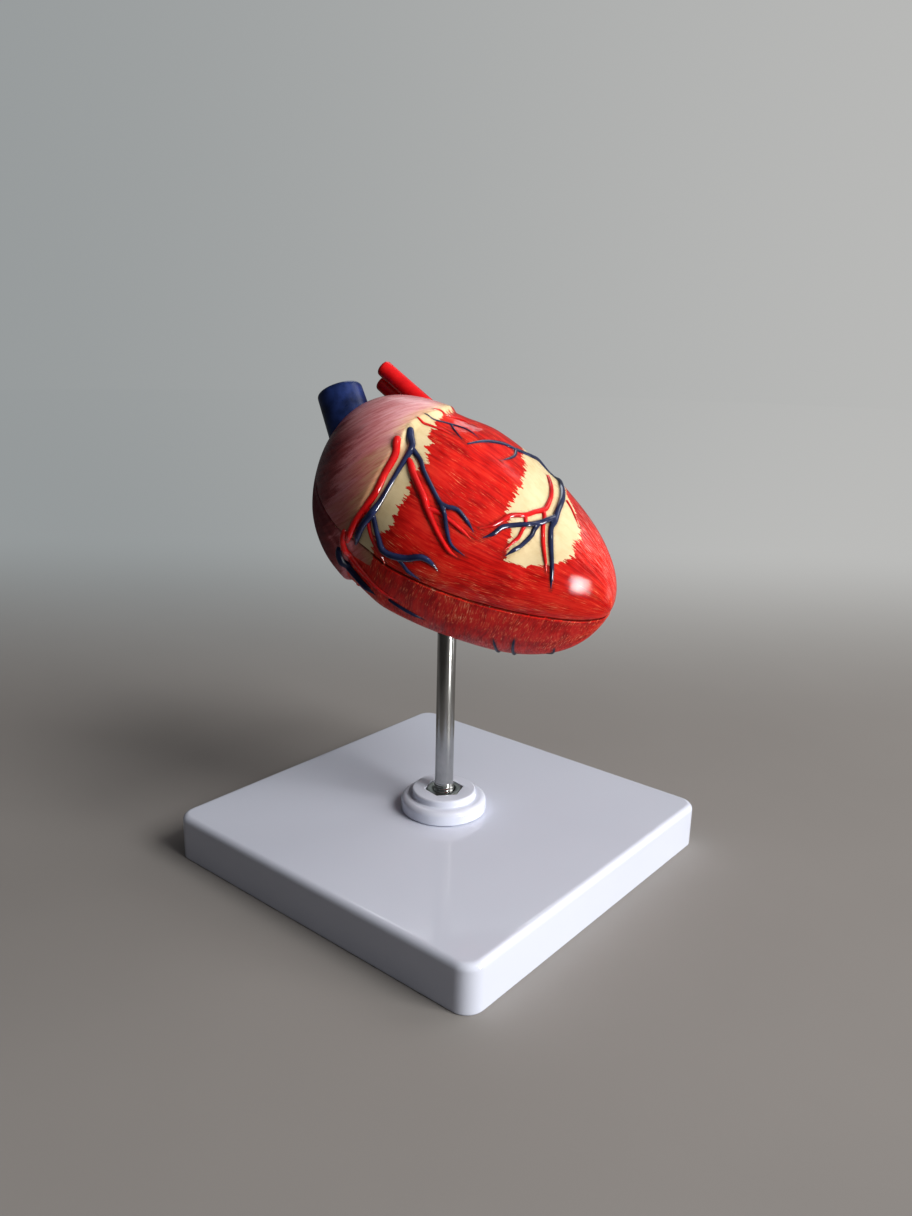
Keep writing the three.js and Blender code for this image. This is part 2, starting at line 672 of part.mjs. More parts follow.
// Waypoints are [station in mm, angle in degrees, half width in mm, height over the surface in mm]
const frontVessels = {
  great_cardiac_vein: {
    finish: finishes.vein,
    branches: [
      [[-30, 106, 1.4], [-28.5, 109.5, 2], [-26, 115, 1.5, 0.2], [-25.5, 130, 1.15], [-25.5, 147, 1.2],
        [-26, 157, 1.6, 1.2], [-27.5, 168, 1.5, 0.8], [-28, 183, 1.4]],
      [[-26.4, 114.2, 1.2, 0.2], [-21, 118, 1.05], [-17.5, 122.5, 0.9], [-10, 129.5, 0.9],
        [-7, 132, 1.0, 0.4], [-4.5, 131.5, 0.9, 0.5], [-1, 130, 0.9], [4, 133, 0.8], [7.5, 136.5, 0.5]],
      [[-7.4, 131.6, 0.85, 0.4], [-4, 136, 0.9, 0.9], [-1, 142, 0.85, 0.4], [3, 148.5, 0.7], [9, 151, 0.5]],
      [[-26.4, 155.8, 1.0, 0.9], [-23, 163, 1.2], [-20.5, 167, 1.2], [-16.5, 172, 1.5], [-9, 168.5, 1.6],
        [-4, 163, 1.6], [0, 163.5, 1.3], [2.5, 166, 0.7]],
      [[-13, 170, 0.9], [-9, 172.5, 0.8], [-6, 175.5, 0.9], [-1, 177, 0.5]],
    ],
  },
  circumflex_artery: {
    finish: finishes.artery,
    branches: [
      [[-32, 114, 1.4], [-31, 118, 1.6], [-29.3, 124, 1.6], [-29, 135.5, 1.5], [-28.5, 146.5, 1.5],
        [-29.3, 156, 1.4], [-30.5, 168, 1.4], [-31, 184, 1.3]],
      [[-29.3, 156, 1.2], [-27, 161, 1.0], [-24.5, 167, 1.0], [-21, 172, 0.9], [-17, 176, 0.8],
        [-14.5, 183, 0.6]],
    ],
  },
  marginal_artery: {
    finish: finishes.artery,
    branches: [
      [[-25, 120.5, 0.9], [-22.5, 123.5, 1.3], [-20, 127, 1.3], [-12.5, 134.5, 1.3], [-10, 138, 1.2],
        [-2.5, 146.5, 0.9], [3, 152, 0.8], [7, 153.5, 0.5]],
      [[-10, 138, 1.2], [-6, 136.5, 0.8], [-2, 137, 0.8], [3.5, 138.5, 0.8], [8, 140.5, 0.5]],
    ],
  },
  interventricular_artery: {
    finish: finishes.artery,
    branches: [
      [[16, 60, 0.7], [19.5, 70, 0.9], [22, 81, 0.9], [23, 92, 1.0], [22.5, 97, 1.0], [20.7, 103, 0.9],
        [18.6, 110, 0.9], [14.7, 116, 0.9], [13, 122, 0.8], [11, 128, 0.7], [8, 133, 0.5]],
      [[18.6, 110, 0.8], [20.3, 115, 0.7], [20.5, 120, 0.7], [20.7, 126, 0.7], [19.7, 132, 0.6],
        [19, 138, 0.45]],
      [[22.5, 97, 0.9], [24.3, 101, 0.8], [25.8, 109, 0.8], [28.3, 118.5, 0.8], [30.7, 126, 0.7],
        [33, 133, 0.6], [35, 140, 0.45]],
    ],
  },
  interventricular_vein: {
    finish: finishes.vein,
    branches: [
      [[-10.5, 91, 0.5], [-8, 82, 0.9], [-5, 76, 1.0], [-1.5, 70, 1.0], [2, 67, 1.0], [7, 57, 1.0],
        [9.5, 46, 1.0], [13.5, 36, 1.0], [17.5, 36, 1.0], [20, 46, 1.1], [22, 57, 1.1], [24.5, 69, 1.2],
        [26, 79, 1.2], [27, 90, 1.2], [28, 99.5, 1.2], [28.3, 106, 1.0], [30, 113.5, 1.0], [32.2, 121.5, 0.9],
        [34.3, 129, 0.8], [36.5, 138, 0.7], [39, 151, 0.45]],
      [[2, 67, 0.9], [3.3, 74, 0.7], [2.8, 80, 0.6], [1, 86, 0.45]],
      [[27.6, 95, 1.0], [25.6, 104, 1.0, 1.1], [23.5, 109.5, 1.0, 0.6], [21, 115, 0.9, 1.0],
        [17.8, 119.5, 0.9], [14.5, 125, 0.9], [13, 131.5, 0.8], [10.5, 137, 0.5]],
      [[24, 108, 0.8, 0.6], [23.8, 115, 0.9], [24, 120, 0.9], [23, 129, 0.8], [21.5, 135, 0.8],
        [20, 141, 0.5]],
    ],
  },
  apical_artery_twig: {
    finish: finishes.artery,
    branches: [[[27, 73, 0.55], [30.5, 77, 0.5], [33.5, 82, 0.45], [36, 86, 0.4]]],
  },
  conus_artery: {
    finish: finishes.artery,
    branches: [[[-30.5, 96, 0.7], [-27.2, 94.5, 0.8], [-23.5, 92.5, 0.8], [-18.5, 91, 0.5]]],
  },
  upper_conus_artery: {
    finish: finishes.artery,
    branches: [[[-28.5, 81, 0.5], [-24, 74, 0.7], [-20, 70, 0.7], [-16, 71, 0.45]]],
  },
  conus_vein: {
    finish: finishes.vein,
    branches: [
      [[-30, 90, 0.5], [-25.5, 86, 0.6], [-21, 82, 0.7], [-15.7, 79.5, 0.6], [-10, 81, 0.4]],
      [[-21, 82, 0.6], [-18, 87, 0.6], [-13, 91, 0.4]],
    ],
  },
};

const backVessels = {
  circumflex_artery_lower: {
    finish: finishes.artery,
    branches: [[[-33, 176, 1.1], [-32.5, 184, 1.3], [-29.5, 191.5, 1.4], [-24.5, 195.5, 1.4],
      [-18.5, 197.5, 1.2], [-13, 199, 0.6]]],
  },
  left_ventricle_vein: {
    finish: finishes.vein,
    branches: [[[-33.5, 190, 1.0], [-32.5, 196, 1.6], [-29, 201.5, 1.7], [-24, 205.5, 1.7],
      [-18.5, 207.5, 1.5], [-15, 209, 0.7]]],
  },
  lower_marginal_vein: {
    finish: finishes.vein,
    branches: [[[-10, 203, 0.7], [-4, 205, 0.9], [1, 207, 0.8], [5, 209, 0.5]]],
  },
  right_coronary_artery: {
    finish: finishes.artery,
    branches: [
      [[-27, 235, 1.2], [-26.5, 260, 1.5], [-26.5, 290, 1.5], [-26.5, 310, 1.4], [-26.5, 325, 1.1]],
      [[-26.5, 290, 1.3], [-18, 284, 1.2], [-4, 281, 1.0], [12, 282, 0.9], [28, 284, 0.5]],
    ],
  },
  middle_cardiac_vein: {
    finish: finishes.vein,
    branches: [
      [[-24.5, 250, 1.2], [-24, 272, 1.5], [-16, 276, 1.4], [-2, 274.5, 1.2], [14, 275, 1.0], [32, 277, 0.8]],
      [[-2, 274.5, 1.0], [8, 268, 0.8], [20, 262, 0.5]],
      [[14, 275, 1.0], [26, 264, 0.8], [32, 247, 0.7], [31.5, 226, 0.6], [29.5, 208, 0.45]],
      [[31, 277, 0.8], [36.5, 262, 0.7], [38, 242, 0.7], [36, 203, 0.45]],
      [[31, 277, 0.8], [42, 270, 0.6], [49, 254, 0.6], [50.5, 236, 0.5], [50, 219, 0.4]],
    ],
  },
};

function addVessels(group, vessels, space) {
  const solids = Object.entries(vessels).map(([name, { finish, branches }]) => ({
    name,
    finish,
    solid: vesselTree(branches, space),
    clear: finish === finishes.vein ? vesselTree(branches.map(widened), space) : null,
  }));
  solids.forEach(({ name, finish, solid }) => {
    const crossing = finish === finishes.vein ? [] : solids.filter(({ clear }) => clear);
    addMesh(group, name, crossing.reduce((left, { clear }) => left.subtract(clear), solid), finish);
  });
}

// The same strand with room around it, for the notch where a vein passes over an artery
function widened(waypoints) {
  return waypoints.map(([station, angle, halfWidth, lift = 0]) => [
    station,
    angle,
    halfWidth + seatGap,
    lift - 1.3 * seatGap,
  ]);
}

// Assembly

const model = new THREE.Group();

const stand = new THREE.Group();
addMesh(stand, 'base_plate', basePlate(), finishes.white);
addMesh(stand, 'rod_collar', rodCollar(), finishes.white);
addMesh(stand, 'upper_nut', nut(upperNutLow), finishes.steel);
addMesh(stand, 'lower_washer', washer(), finishes.steel);
addMesh(stand, 'lower_nut', nut(lowerNutTop - nutHeight), finishes.steel);
addMesh(stand, 'support_rod', supportRod(), finishes.chrome);
addMesh(stand, 'pivot_cap', pivotCap(), finishes.steel);
model.add(stand);

const back = new THREE.Group();
const rodClearance = rodLine(socketBore, 0, socketInside);
addMesh(back, 'back_shell', shell.intersect(backSpace).subtract(rodClearance), finishes.muscle);
addMesh(back, 'back_section', sectionInsert(backSpace, -1), finishes.section);
addMesh(back, 'rod_socket', rodSocket(), finishes.ivory);
const pegNames = ['middle_peg', 'atrium_peg'];
pegNames.forEach((name, index) => {
  const peg = latheGeometry([[0, -pegReach], [pegRadius, -pegReach], [pegRadius, pegReach - 0.5],
    [pegRadius - 0.5, pegReach], [0, pegReach]], 16);
  peg.translate(pegPlaces[index][0], pegPlaces[index][1], 0);
  addMesh(back, name, peg, finishes.ivory);
});
const magnetNames = ['apex_magnet', 'atrium_magnet'];
magnetNames.forEach((name, index) => {
  addMesh(back, `back_${name}`, magnet(magnetPlaces[index], -1), finishes.magnet);
});
const leftMuscleTip = new THREE.Vector3(5, leftVentricle.across, -6);
const rightMuscleTip = new THREE.Vector3(0, rightVentricle.across, -5.5);
const cordGap = new THREE.Vector3(-0.8, 0, 0.4);
const leftCordEnd = leftMuscleTip.clone().add(cordGap);
const rightCordEnd = rightMuscleTip.clone().add(cordGap);
const leftCords = [[-2.6, -1.4, leftCordEnd], [2.6, -1.4, leftCordEnd]];
const rightCords = [[-2.6, -1.4, rightCordEnd], [2.6, -1.4, rightCordEnd]];
addMesh(back, 'mitral_valve', valve(mitralAcross, leftCords), finishes.ivory);
addMesh(back, 'tricuspid_valve', valve(tricuspidAcross, rightCords), finishes.ivory);
addMesh(back, 'left_papillary_muscle', muscle(leftVentricle, 20, leftMuscleTip), finishes.section);
addMesh(back, 'right_papillary_muscle', muscle(rightVentricle, 12, rightMuscleTip), finishes.section);
addMesh(back, 'aorta', stub([-38, 20, -9], [-50, 44, -14], 9, 8.5, backSpace), finishes.artery);
addMesh(back, 'pulmonary_trunk', stub([-15, 28, -12], [-32, 50, -12], 9, 8, backSpace), finishes.vein);
addMesh(back, 'caudal_vena_cava', stub([-36, 12, -26], [-46, 36, -40], 8.5, 8, backSpace), finishes.vein);
addVessels(back, backVessels, backSpace);
heart.add(back);

const front = new THREE.Group();
addMesh(front, 'front_shell', shell.intersect(frontSpace), finishes.muscle);
addMesh(front, 'front_section', sectionInsert(frontSpace, 1), finishes.section);
magnetNames.forEach((name, index) => {
  addMesh(front, `front_${name}`, magnet(magnetPlaces[index], 1), finishes.magnet);
});
const frontStubs = {
  cranial_vena_cava: [[-48.5, -0.5, 6.5], [-68, 11.3, 18.7], 9.3, 8.6],
  upper_pulmonary_vein: [[-30, 22, 22.2], [-59.7, 26.5, 26.4], 3.3, 3.15],
  lower_pulmonary_vein: [[-30, 23.5, 15], [-59.1, 27.9, 19.2], 3.3, 3.15],
};
addMesh(front, 'cranial_vena_cava', stub(...frontStubs.cranial_vena_cava, frontSpace), finishes.vein);
addMesh(front, 'upper_pulmonary_vein', stub(...frontStubs.upper_pulmonary_vein, frontSpace), finishes.artery);
addMesh(front, 'lower_pulmonary_vein', stub(...frontStubs.lower_pulmonary_vein, frontSpace), finishes.artery);
addVessels(front, frontVessels, frontSpace);
heart.add(front);

model.add(heart);

export default model;
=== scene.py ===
"""Looks of the animal heart model on its stand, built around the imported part. Metres, in the part's frame."""

import math

import bmesh
import bpy
import numpy as np
from mathutils import Matrix, Vector
from mathutils.kdtree import KDTree


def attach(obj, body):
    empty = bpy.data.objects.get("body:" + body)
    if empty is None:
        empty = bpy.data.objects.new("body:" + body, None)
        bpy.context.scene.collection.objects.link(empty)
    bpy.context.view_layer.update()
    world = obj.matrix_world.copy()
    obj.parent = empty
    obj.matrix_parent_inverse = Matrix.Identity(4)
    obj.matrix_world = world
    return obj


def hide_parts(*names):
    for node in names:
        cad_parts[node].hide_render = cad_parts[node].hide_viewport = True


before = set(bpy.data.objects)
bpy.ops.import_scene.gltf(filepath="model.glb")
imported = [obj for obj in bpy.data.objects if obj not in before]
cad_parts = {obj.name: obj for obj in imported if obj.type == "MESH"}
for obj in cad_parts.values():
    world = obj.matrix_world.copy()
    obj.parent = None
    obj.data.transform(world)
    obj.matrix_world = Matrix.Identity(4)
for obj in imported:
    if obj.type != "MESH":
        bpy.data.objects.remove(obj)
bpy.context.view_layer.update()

MM = 0.001

# Clearances and sizes shared with the part's source
SEAT_GAP = 0.3 * MM
RUNNING_GAP = 0.4 * MM

BASE_WIDTH = 150 * MM
BASE_HEIGHT = 18 * MM
BASE_CORNER_RADIUS = 7 * MM
BASE_EDGE_RADIUS = 2.5 * MM
BASE_FOOT_RADIUS = 0.6 * MM
BASE_WALL = 3 * MM
BASE_TOP_WALL = 3.5 * MM
BASE_RIB_WIDTH = 2 * MM
BASE_RIB_LIFT = 1.5 * MM
BASE_BOSS_RADIUS = 11 * MM
BASE_BOSS_DEPTH = 6.5 * MM
BASE_CORNER_STEPS = 12
BASE_EASE = 0.4 * MM
BASE_TOP_INSET = 0.6 * MM

COLLAR_RADIUS = 17 * MM
COLLAR_LOWER_HEIGHT = 5.6 * MM
COLLAR_UPPER_RADIUS = 12.75 * MM
COLLAR_UPPER_HEIGHT = 2.8 * MM
COLLAR_SHOULDER_RADIUS = 2.2 * MM
COLLAR_LIP_RADIUS = 0.8 * MM
COLLAR_POCKET_DEPTH = 7 * MM

ROD_RADIUS = 3.65 * MM
ROD_SIDES = 64
THREAD_RADIUS = 4 * MM
THREAD_DEPTH = 0.6 * MM
THREAD_PITCH = 1.25 * MM
THREAD_STEPS = 10
THREAD_CREST = 1.25
THREAD_FLANK = 2.9
THREAD_ABOVE_NUT = 3 * MM
ROD_BOTTOM = 1.2 * MM
ROD_SHOULDER = 92 * MM
SPIGOT_RADIUS = 2.4 * MM
SPIGOT_LENGTH = 11.7 * MM
NUT_ACROSS_FLATS = 13 * MM
NUT_HEIGHT = 6.5 * MM
NUT_TURN = math.radians(-10)
NUT_CHAMFER = math.radians(30)
NUT_BORE_SINK = 0.7 * MM
WASHER_RADIUS = 8 * MM
WASHER_THICKNESS = 1.6 * MM
PIVOT_CAP_WALL = 1.4 * MM
PIVOT_CAP_ROOF = 1.7 * MM

COLLAR_TOP = BASE_HEIGHT + SEAT_GAP + COLLAR_LOWER_HEIGHT + COLLAR_UPPER_HEIGHT
NUT_FLOOR = COLLAR_TOP - COLLAR_POCKET_DEPTH
UPPER_NUT_LOW = NUT_FLOOR + SEAT_GAP
WASHER_TOP = BASE_HEIGHT - BASE_BOSS_DEPTH - SEAT_GAP
LOWER_NUT_LOW = WASHER_TOP - WASHER_THICKNESS - SEAT_GAP - NUT_HEIGHT
HOLE_RADIUS = THREAD_RADIUS + RUNNING_GAP
PIVOT_CAP_RADIUS = SPIGOT_RADIUS + SEAT_GAP + PIVOT_CAP_WALL
PIVOT_CAP_INSIDE = ROD_SHOULDER + SPIGOT_LENGTH + SEAT_GAP
PIVOT_CAP_TOP = PIVOT_CAP_INSIDE + PIVOT_CAP_ROOF
SOCKET_BORE = PIVOT_CAP_RADIUS + RUNNING_GAP

# The heart's middle, attitude and length, and the reach of its surface on each side of the long axis
HEART_CENTRE = Vector((5.5, 3.5, 132)) * MM
HEART_YAW = math.radians(24)
HEART_PITCH = math.radians(26)
HEART_TILT = math.radians(24)
HALF_LENGTH = 61 * MM
SHELL_WALL = 3 * MM
NEAR_SIDE = (36.5 * MM, -0.31, -0.09)
FAR_SIDE = (41.5 * MM, -0.09, -0.26)
FRONT_SIDE = (33.8 * MM, -0.32, 0.39)
BACK_SIDE = (42.7 * MM, -0.07, 0.39)

# Groove behind the atria and the shallow one over the septum. An angle list is start, full, still full, end.
GROOVE_DEPTH = 1.6 * MM
GROOVE_EDGE = -31.5 * MM
GROOVE_EDGE_WIDTH = 3 * MM
GROOVE_FLOOR = -26 * MM
GROOVE_RUN_OUT = 14 * MM
AURICLE_REACH = 4 * MM
AURICLE_ANGLES = (15, 55, 75, 105)
SEPTUM_DEPTH = 0.8 * MM
SEPTUM_HALF_WIDTH = 8 * MM
SEPTUM_START = 19 * MM
SEPTUM_SLOPE = 0.14 * MM
SEPTUM_MIDDLE_ANGLE = 70
SEPTUM_ANGLES = (20, 60, 140, 165)
GROOVE_FULL_RADIUS = 15 * MM

# Shells, with the places of their rings as shares of the half length
SHELL_RINGS = 220
GROOVE_RINGS = np.arange(-34, -20, 0.5) * MM / HALF_LENGTH
RING_CLEARANCE = 0.004
RIM_ANGLES = np.array([0, 0.09, 0.26, 0.55, 0.9, 1.3, 2, 3, 4.2])
OUTER_ANGLE_STEP = 1.1
INNER_ANGLE_STEP = 8
RIM_RADIUS = 0.6 * MM
RIM_SHIFT_FADE = 0.5 * MM
LIP_HEIGHT = 0.5 * MM
LIP_WIDTH = 1.5 * MM
LIP_LENGTH = 14 * MM
LIP_START = (-31 * MM, -22 * MM)
FRONT_RIM_DRAWN_IN = 0.3 * MM
FRONT_RIM_WIDTH = 3 * MM
LUMP_SIZE = 17 * MM
FINE_LUMP_SIZE = 0.45 * LUMP_SIZE
LUMP_HEIGHT = 0.3 * MM
SHELL_SHARP = 50

# Steps over which the surface's slope is measured, along it in shares and round it in degrees
NORMAL_STEP = 0.002
NORMAL_END = 0.9995
NORMAL_ANGLE = 0.3
RIM_STEP = 0.01

# Length in mm of a degree round the heart, for the paint
ARC_PER_DEGREE = 38 * math.pi / 180

# Seeds of the noise that makes the shells uneven, and the numbers that scatter it
LUMP_SEED = 3
FINE_LUMP_SEED = 4
LIP_SEED = 5
CELL_PRIMES = np.array([73856093, 19349663, 83492791])
SEED_PRIME = 7919
MIXING_PRIME = 1274126177
NOISE_LEVELS = 10007

# Strands
STRAND_SINK = 0.08
STRAND_RISE = 0.9
TIP_LENGTH = 5 * MM
TIP_WIDTH = 0.5
TIP_SINK = 0.35
STRAND_STEP = 0.35 * MM
STRAND_SIDES = 16
STRAND_VOXEL = 0.16 * MM
CURVE_SPOTS = 200
END_WIDTH = 0.15
TIP_PAINT_LENGTH = 7
# Width in mm of the painted shade beside the raised vessels, and the points along each branch that place it
CREASE_WIDTH = 0.8
CREASE_SPOTS = 120

# Great vessels: the body they ride on, root, tip, root radius and tip radius in mm in the heart's own frame
GREAT_VESSELS = {
    "cranial_vena_cava": ("heart_front", (-48.5, -0.5, 6.5), (-68, 11.3, 18.7), 9.3, 8.6),
    "upper_pulmonary_vein": ("heart_front", (-30, 22, 22.2), (-59.7, 26.5, 26.4), 3.3, 3.15),
    "lower_pulmonary_vein": ("heart_front", (-30, 23.5, 15), (-59.1, 27.9, 19.2), 3.3, 3.15),
    "aorta": ("heart_back", (-38, 20, -9), (-50, 44, -14), 9, 8.5),
    "pulmonary_trunk": ("heart_back", (-15, 28, -12), (-32, 50, -12), 9, 8),
    "caudal_vena_cava": ("heart_back", (-36, 12, -26), (-46, 36, -40), 8.5, 8),
}
GREAT_VESSEL_SINK = 1.5 * MM
STUB_STEPS = 24
THIN_STUB_RADIUS = 5 * MM
CORE_RINGS = 59
CORE_SIDES = 72

# Waypoints are station in mm, angle in degrees, half width in mm and height over the surface in mm
FRONT_STRANDS = {
    "great_cardiac_vein": [
        [(-30.6, 104.5, 1.2), (-28.8, 109, 1.6), (-26, 115, 1.25, 0.2), (-25.5, 130, 0.85),
         (-25.5, 147, 0.95), (-26, 157, 1.35, 1.2), (-27.5, 168, 1.3, 0.8), (-28, 183, 1.25)],
        [(-26.4, 114.2, 1.0, 0.2), (-21, 118, 0.95), (-17.5, 122.5, 0.85), (-10, 129.5, 0.85),
         (-7, 132, 1.0, 0.4), (-4.5, 131.5, 0.85, 0.5), (-1, 130, 0.85), (4, 133, 0.7), (7.5, 136.5, 0.4)],
        [(-7.4, 131.6, 0.85, 0.4), (-4, 136, 0.85, 0.9), (-1, 142, 0.8, 0.4), (3, 148.5, 0.6),
         (9, 151, 0.35)],
        [(-26.4, 155.8, 0.9, 0.9), (-23, 163, 1.0), (-20.5, 167, 1.05), (-16.5, 172, 1.3), (-9, 168.5, 1.3),
         (-4, 163, 1.2), (0, 163.5, 0.8), (3.5, 167, 0.3)],
        [(-13, 170, 0.8), (-9, 172.5, 0.7), (-6, 175.5, 0.7), (-1, 177.5, 0.35)],
    ],
    "circumflex_artery": [
        [(-32, 114, 1.3), (-31, 118, 1.45), (-29.3, 124, 1.4), (-29, 135.5, 1.3), (-28.5, 146.5, 1.3),
         (-29.3, 156, 1.3), (-30.5, 168, 1.3), (-31, 184, 1.25)],
        [(-29.3, 156, 1.1), (-27, 161, 0.85), (-24.5, 167, 0.85), (-21, 172, 0.8), (-17, 176, 0.6),
         (-14.5, 180, 0.35)],
    ],
    "marginal_artery": [
        [(-25, 120.5, 0.9), (-22.5, 123.5, 1.3), (-20, 127, 1.3), (-12.5, 134.5, 1.3), (-10, 138, 1.2),
         (-2.5, 146.5, 0.9), (3, 152, 0.8), (7, 153.5, 0.5)],
        [(-10, 138, 1.2), (-6, 136.5, 0.8), (-2, 137, 0.8), (3.5, 138.5, 0.8), (8, 140.5, 0.5)],
    ],
    "interventricular_artery": [
        [(16, 60, 0.7), (19.5, 70, 0.9), (22, 81, 0.9), (23, 92, 1.0), (22.5, 97, 1.0), (20.7, 103, 0.9),
         (18.6, 110, 0.9), (14.7, 116, 0.9), (13, 122, 0.8), (11, 128, 0.7), (8, 133, 0.5)],
        [(18.6, 110, 0.8), (20.3, 115, 0.7), (20.5, 120, 0.7), (20.7, 126, 0.7), (19.7, 132, 0.6),
         (19, 138, 0.45)],
        [(22.5, 97, 0.9), (24.3, 101, 0.8), (25.8, 109, 0.8), (28.3, 118.5, 0.8), (30.7, 126, 0.7),
         (33, 133, 0.6), (35, 140, 0.45)],
    ],
    "interventricular_vein": [
        [(-11.5, 93, 0.3), (-8, 83, 0.6), (-5, 76.5, 0.75), (-1.5, 70.5, 0.75), (2, 67, 0.8), (7, 57, 0.9),
         (9.5, 46, 1.0), (13.5, 36, 1.0), (17.5, 36, 1.0), (20, 46, 1.1), (22, 57, 1.1),
         (24.5, 69, 1.2), (26, 79, 1.2), (27, 90, 1.2), (28, 99.5, 1.2), (28.3, 106, 1.0),
         (30, 113.5, 1.0), (32.2, 121.5, 0.9),
         (34.3, 129, 0.8), (36.5, 138, 0.7), (39, 151, 0.45)],
        [(2, 67, 0.7), (3.3, 74, 0.55), (2.8, 80, 0.45), (1, 87, 0.3)],
        [(27.6, 95, 1.0), (25.6, 104, 1.0, 1.1), (23.5, 109.5, 1.0, 0.6), (21, 115, 0.9, 1.0),
         (17.8, 119.5, 0.9), (14.5, 125, 0.9), (13, 131.5, 0.8), (10.5, 137, 0.5)],
        [(24, 108, 0.8, 0.6), (23.8, 115, 0.9), (24, 120, 0.9), (23, 129, 0.8), (21.5, 135, 0.8),
         (20, 141, 0.5)],
    ],
    "apical_artery_twig": [[(27, 73, 0.55), (30.5, 77, 0.5), (33.5, 82, 0.45), (36, 86, 0.4)]],
    "conus_artery": [[(-31, 96.5, 0.3), (-29, 96, 0.5), (-25.5, 94, 0.55), (-22, 92.5, 0.5), (-17, 91, 0.3)]],
    "upper_conus_artery": [[(-29, 82, 0.3), (-25, 76, 0.45), (-20, 71, 0.45), (-15, 71, 0.3)]],
    "conus_vein": [
        [(-30, 91, 0.25), (-25.5, 87, 0.35), (-21, 83, 0.42), (-15.7, 80.5, 0.38), (-9, 83, 0.25)],
        [(-21, 83, 0.38), (-18, 87.5, 0.38), (-12.5, 93, 0.25)],
    ],
}
BACK_STRANDS = {
    "circumflex_artery_lower": [
        [(-33, 176, 1.1), (-32.5, 184, 1.3), (-29.5, 191, 1.3), (-24.5, 195, 1.25), (-18.5, 197.5, 1.0),
         (-12, 199.5, 0.7), (-5, 200.5, 0.35)],
    ],
    "left_ventricle_vein": [
        [(-33.5, 190, 1.0), (-32.5, 196, 1.6), (-29, 201.5, 1.7), (-24, 205.5, 1.7), (-18.5, 207.5, 1.5),
         (-15, 209, 0.7)],
    ],
    "lower_marginal_vein": [[(-10, 203, 0.7), (-4, 205, 0.9), (1, 207, 0.8), (5, 209, 0.5)]],
    "right_coronary_artery": [
        [(-27, 235, 1.2), (-26.5, 260, 1.5), (-26.5, 290, 1.5), (-26.5, 310, 1.4), (-26.5, 325, 1.1)],
        [(-26.5, 290, 1.3), (-18, 284, 1.2), (-4, 281, 1.0), (12, 282, 0.9), (28, 284, 0.5)],
    ],
    "middle_cardiac_vein": [
        [(-24.5, 250, 1.2), (-24, 272, 1.5), (-16, 276, 1.4), (-2, 274.5, 1.2), (14, 275, 1.0),
         (32, 277, 0.8)],
        [(-2, 274.5, 1.0), (8, 268, 0.8), (20, 262, 0.5)],
        [(14, 275, 1.0), (26, 264, 0.8), (32, 247, 0.7), (31.5, 226, 0.6), (29.5, 208, 0.45)],
        [(31, 277, 0.8), (36.5, 262, 0.7), (38, 242, 0.7), (36, 203, 0.45)],
        [(31, 277, 0.8), (42, 270, 0.6), (49, 254, 0.6), (50.5, 236, 0.5), (50, 219, 0.4)],
    ],
}
VEINS = ("great_cardiac_vein", "interventricular_vein", "conus_vein", "left_ventricle_vein",
         "lower_marginal_vein", "middle_cardiac_vein", "cranial_vena_cava", "caudal_vena_cava",
         "pulmonary_trunk")

# Bands of painted fat: angle in degrees and the station in mm where one ends, or the two it lies between.
# The hidden groove's first row lets its edge run straight on.
GROOVE_FAT = [(60, -25), (92, -25), (95, -23.5), (101, -24), (105, -21), (110, -23.5), (111, -20),
              (117.5, -19), (127, -21), (136.5, -18.5), (156, -18.5), (161, -19), (166, -21.5), (172, -22),
              (180, -20.5), (180.5, -20.5)]
SEPTUM_FAT = [(25, 8, 12), (35, 2, 16), (45, 2, 20), (55, 3, 24), (65, 4.5, 26), (75, 8.5, 31),
              (85, 10.5, 35.5), (95, 12, 39), (105, 12.5, 37.5), (115, 13, 40), (120, 15, 38.5),
              (125, 17.5, 38), (130, 18.5, 36), (135, 20, 33), (140, 20.5, 28), (142, 20.5, 28)]
HIDDEN_GROOVE_FAT = [(-180, -34), (228, -34), (234, -24), (245, -20), (290, -19), (335, -22)]
HIDDEN_SEPTUM_FAT = [(262, -12, 8), (268, -16, 26), (276, -18, 34), (284, -16, 30), (290, -10, 12)]
FAT_BANDS = (GROOVE_FAT, SEPTUM_FAT, HIDDEN_GROOVE_FAT, HIDDEN_SEPTUM_FAT)

# Patches of the atria's paint past the groove's edge, in mm, and the angles where they start, fill and end
ATRIUM_LAP = 2.2
ATRIUM_LAP_ANGLES = (108, 124)
PINK_PATCH = 9.5
PINK_PATCH_ANGLES = (178, 180.5, 187, 192)

# Camera, from the photograph's own perspective
IMAGE_WIDTH = 912
IMAGE_HEIGHT = 1216
FOCAL_PIXELS = 977.945
CAMERA_AZIMUTH = math.radians(39.478)
CAMERA_ELEVATION = math.radians(15.85)
CAMERA_ROLL = math.radians(1.326)
CAMERA_DISTANCE = 400.237 * MM
CAMERA_RIGHT = 5.465 * MM
CAMERA_UP = 97.667 * MM
SENSOR = 36


# Meshes

def new_object(name, points, faces, matrix=Matrix(), sharp=40):
    """A smooth-shaded object with its faces turned outwards and its sharp edges marked by their angle."""
    mesh = bpy.data.meshes.new(name)
    mesh.from_pydata([tuple(point) for point in points], [], faces)
    work = bmesh.new()
    work.from_mesh(mesh)
    bmesh.ops.recalc_face_normals(work, faces=work.faces)
    work.to_mesh(mesh)
    work.free()
    made = bpy.data.objects.new(name, mesh)
    bpy.context.scene.collection.objects.link(made)
    made.matrix_world = matrix
    shade(made, sharp)
    return made


def shade(made, sharp):
    made.data.shade_smooth()
    made.data.set_sharp_from_angle(angle=math.radians(sharp))


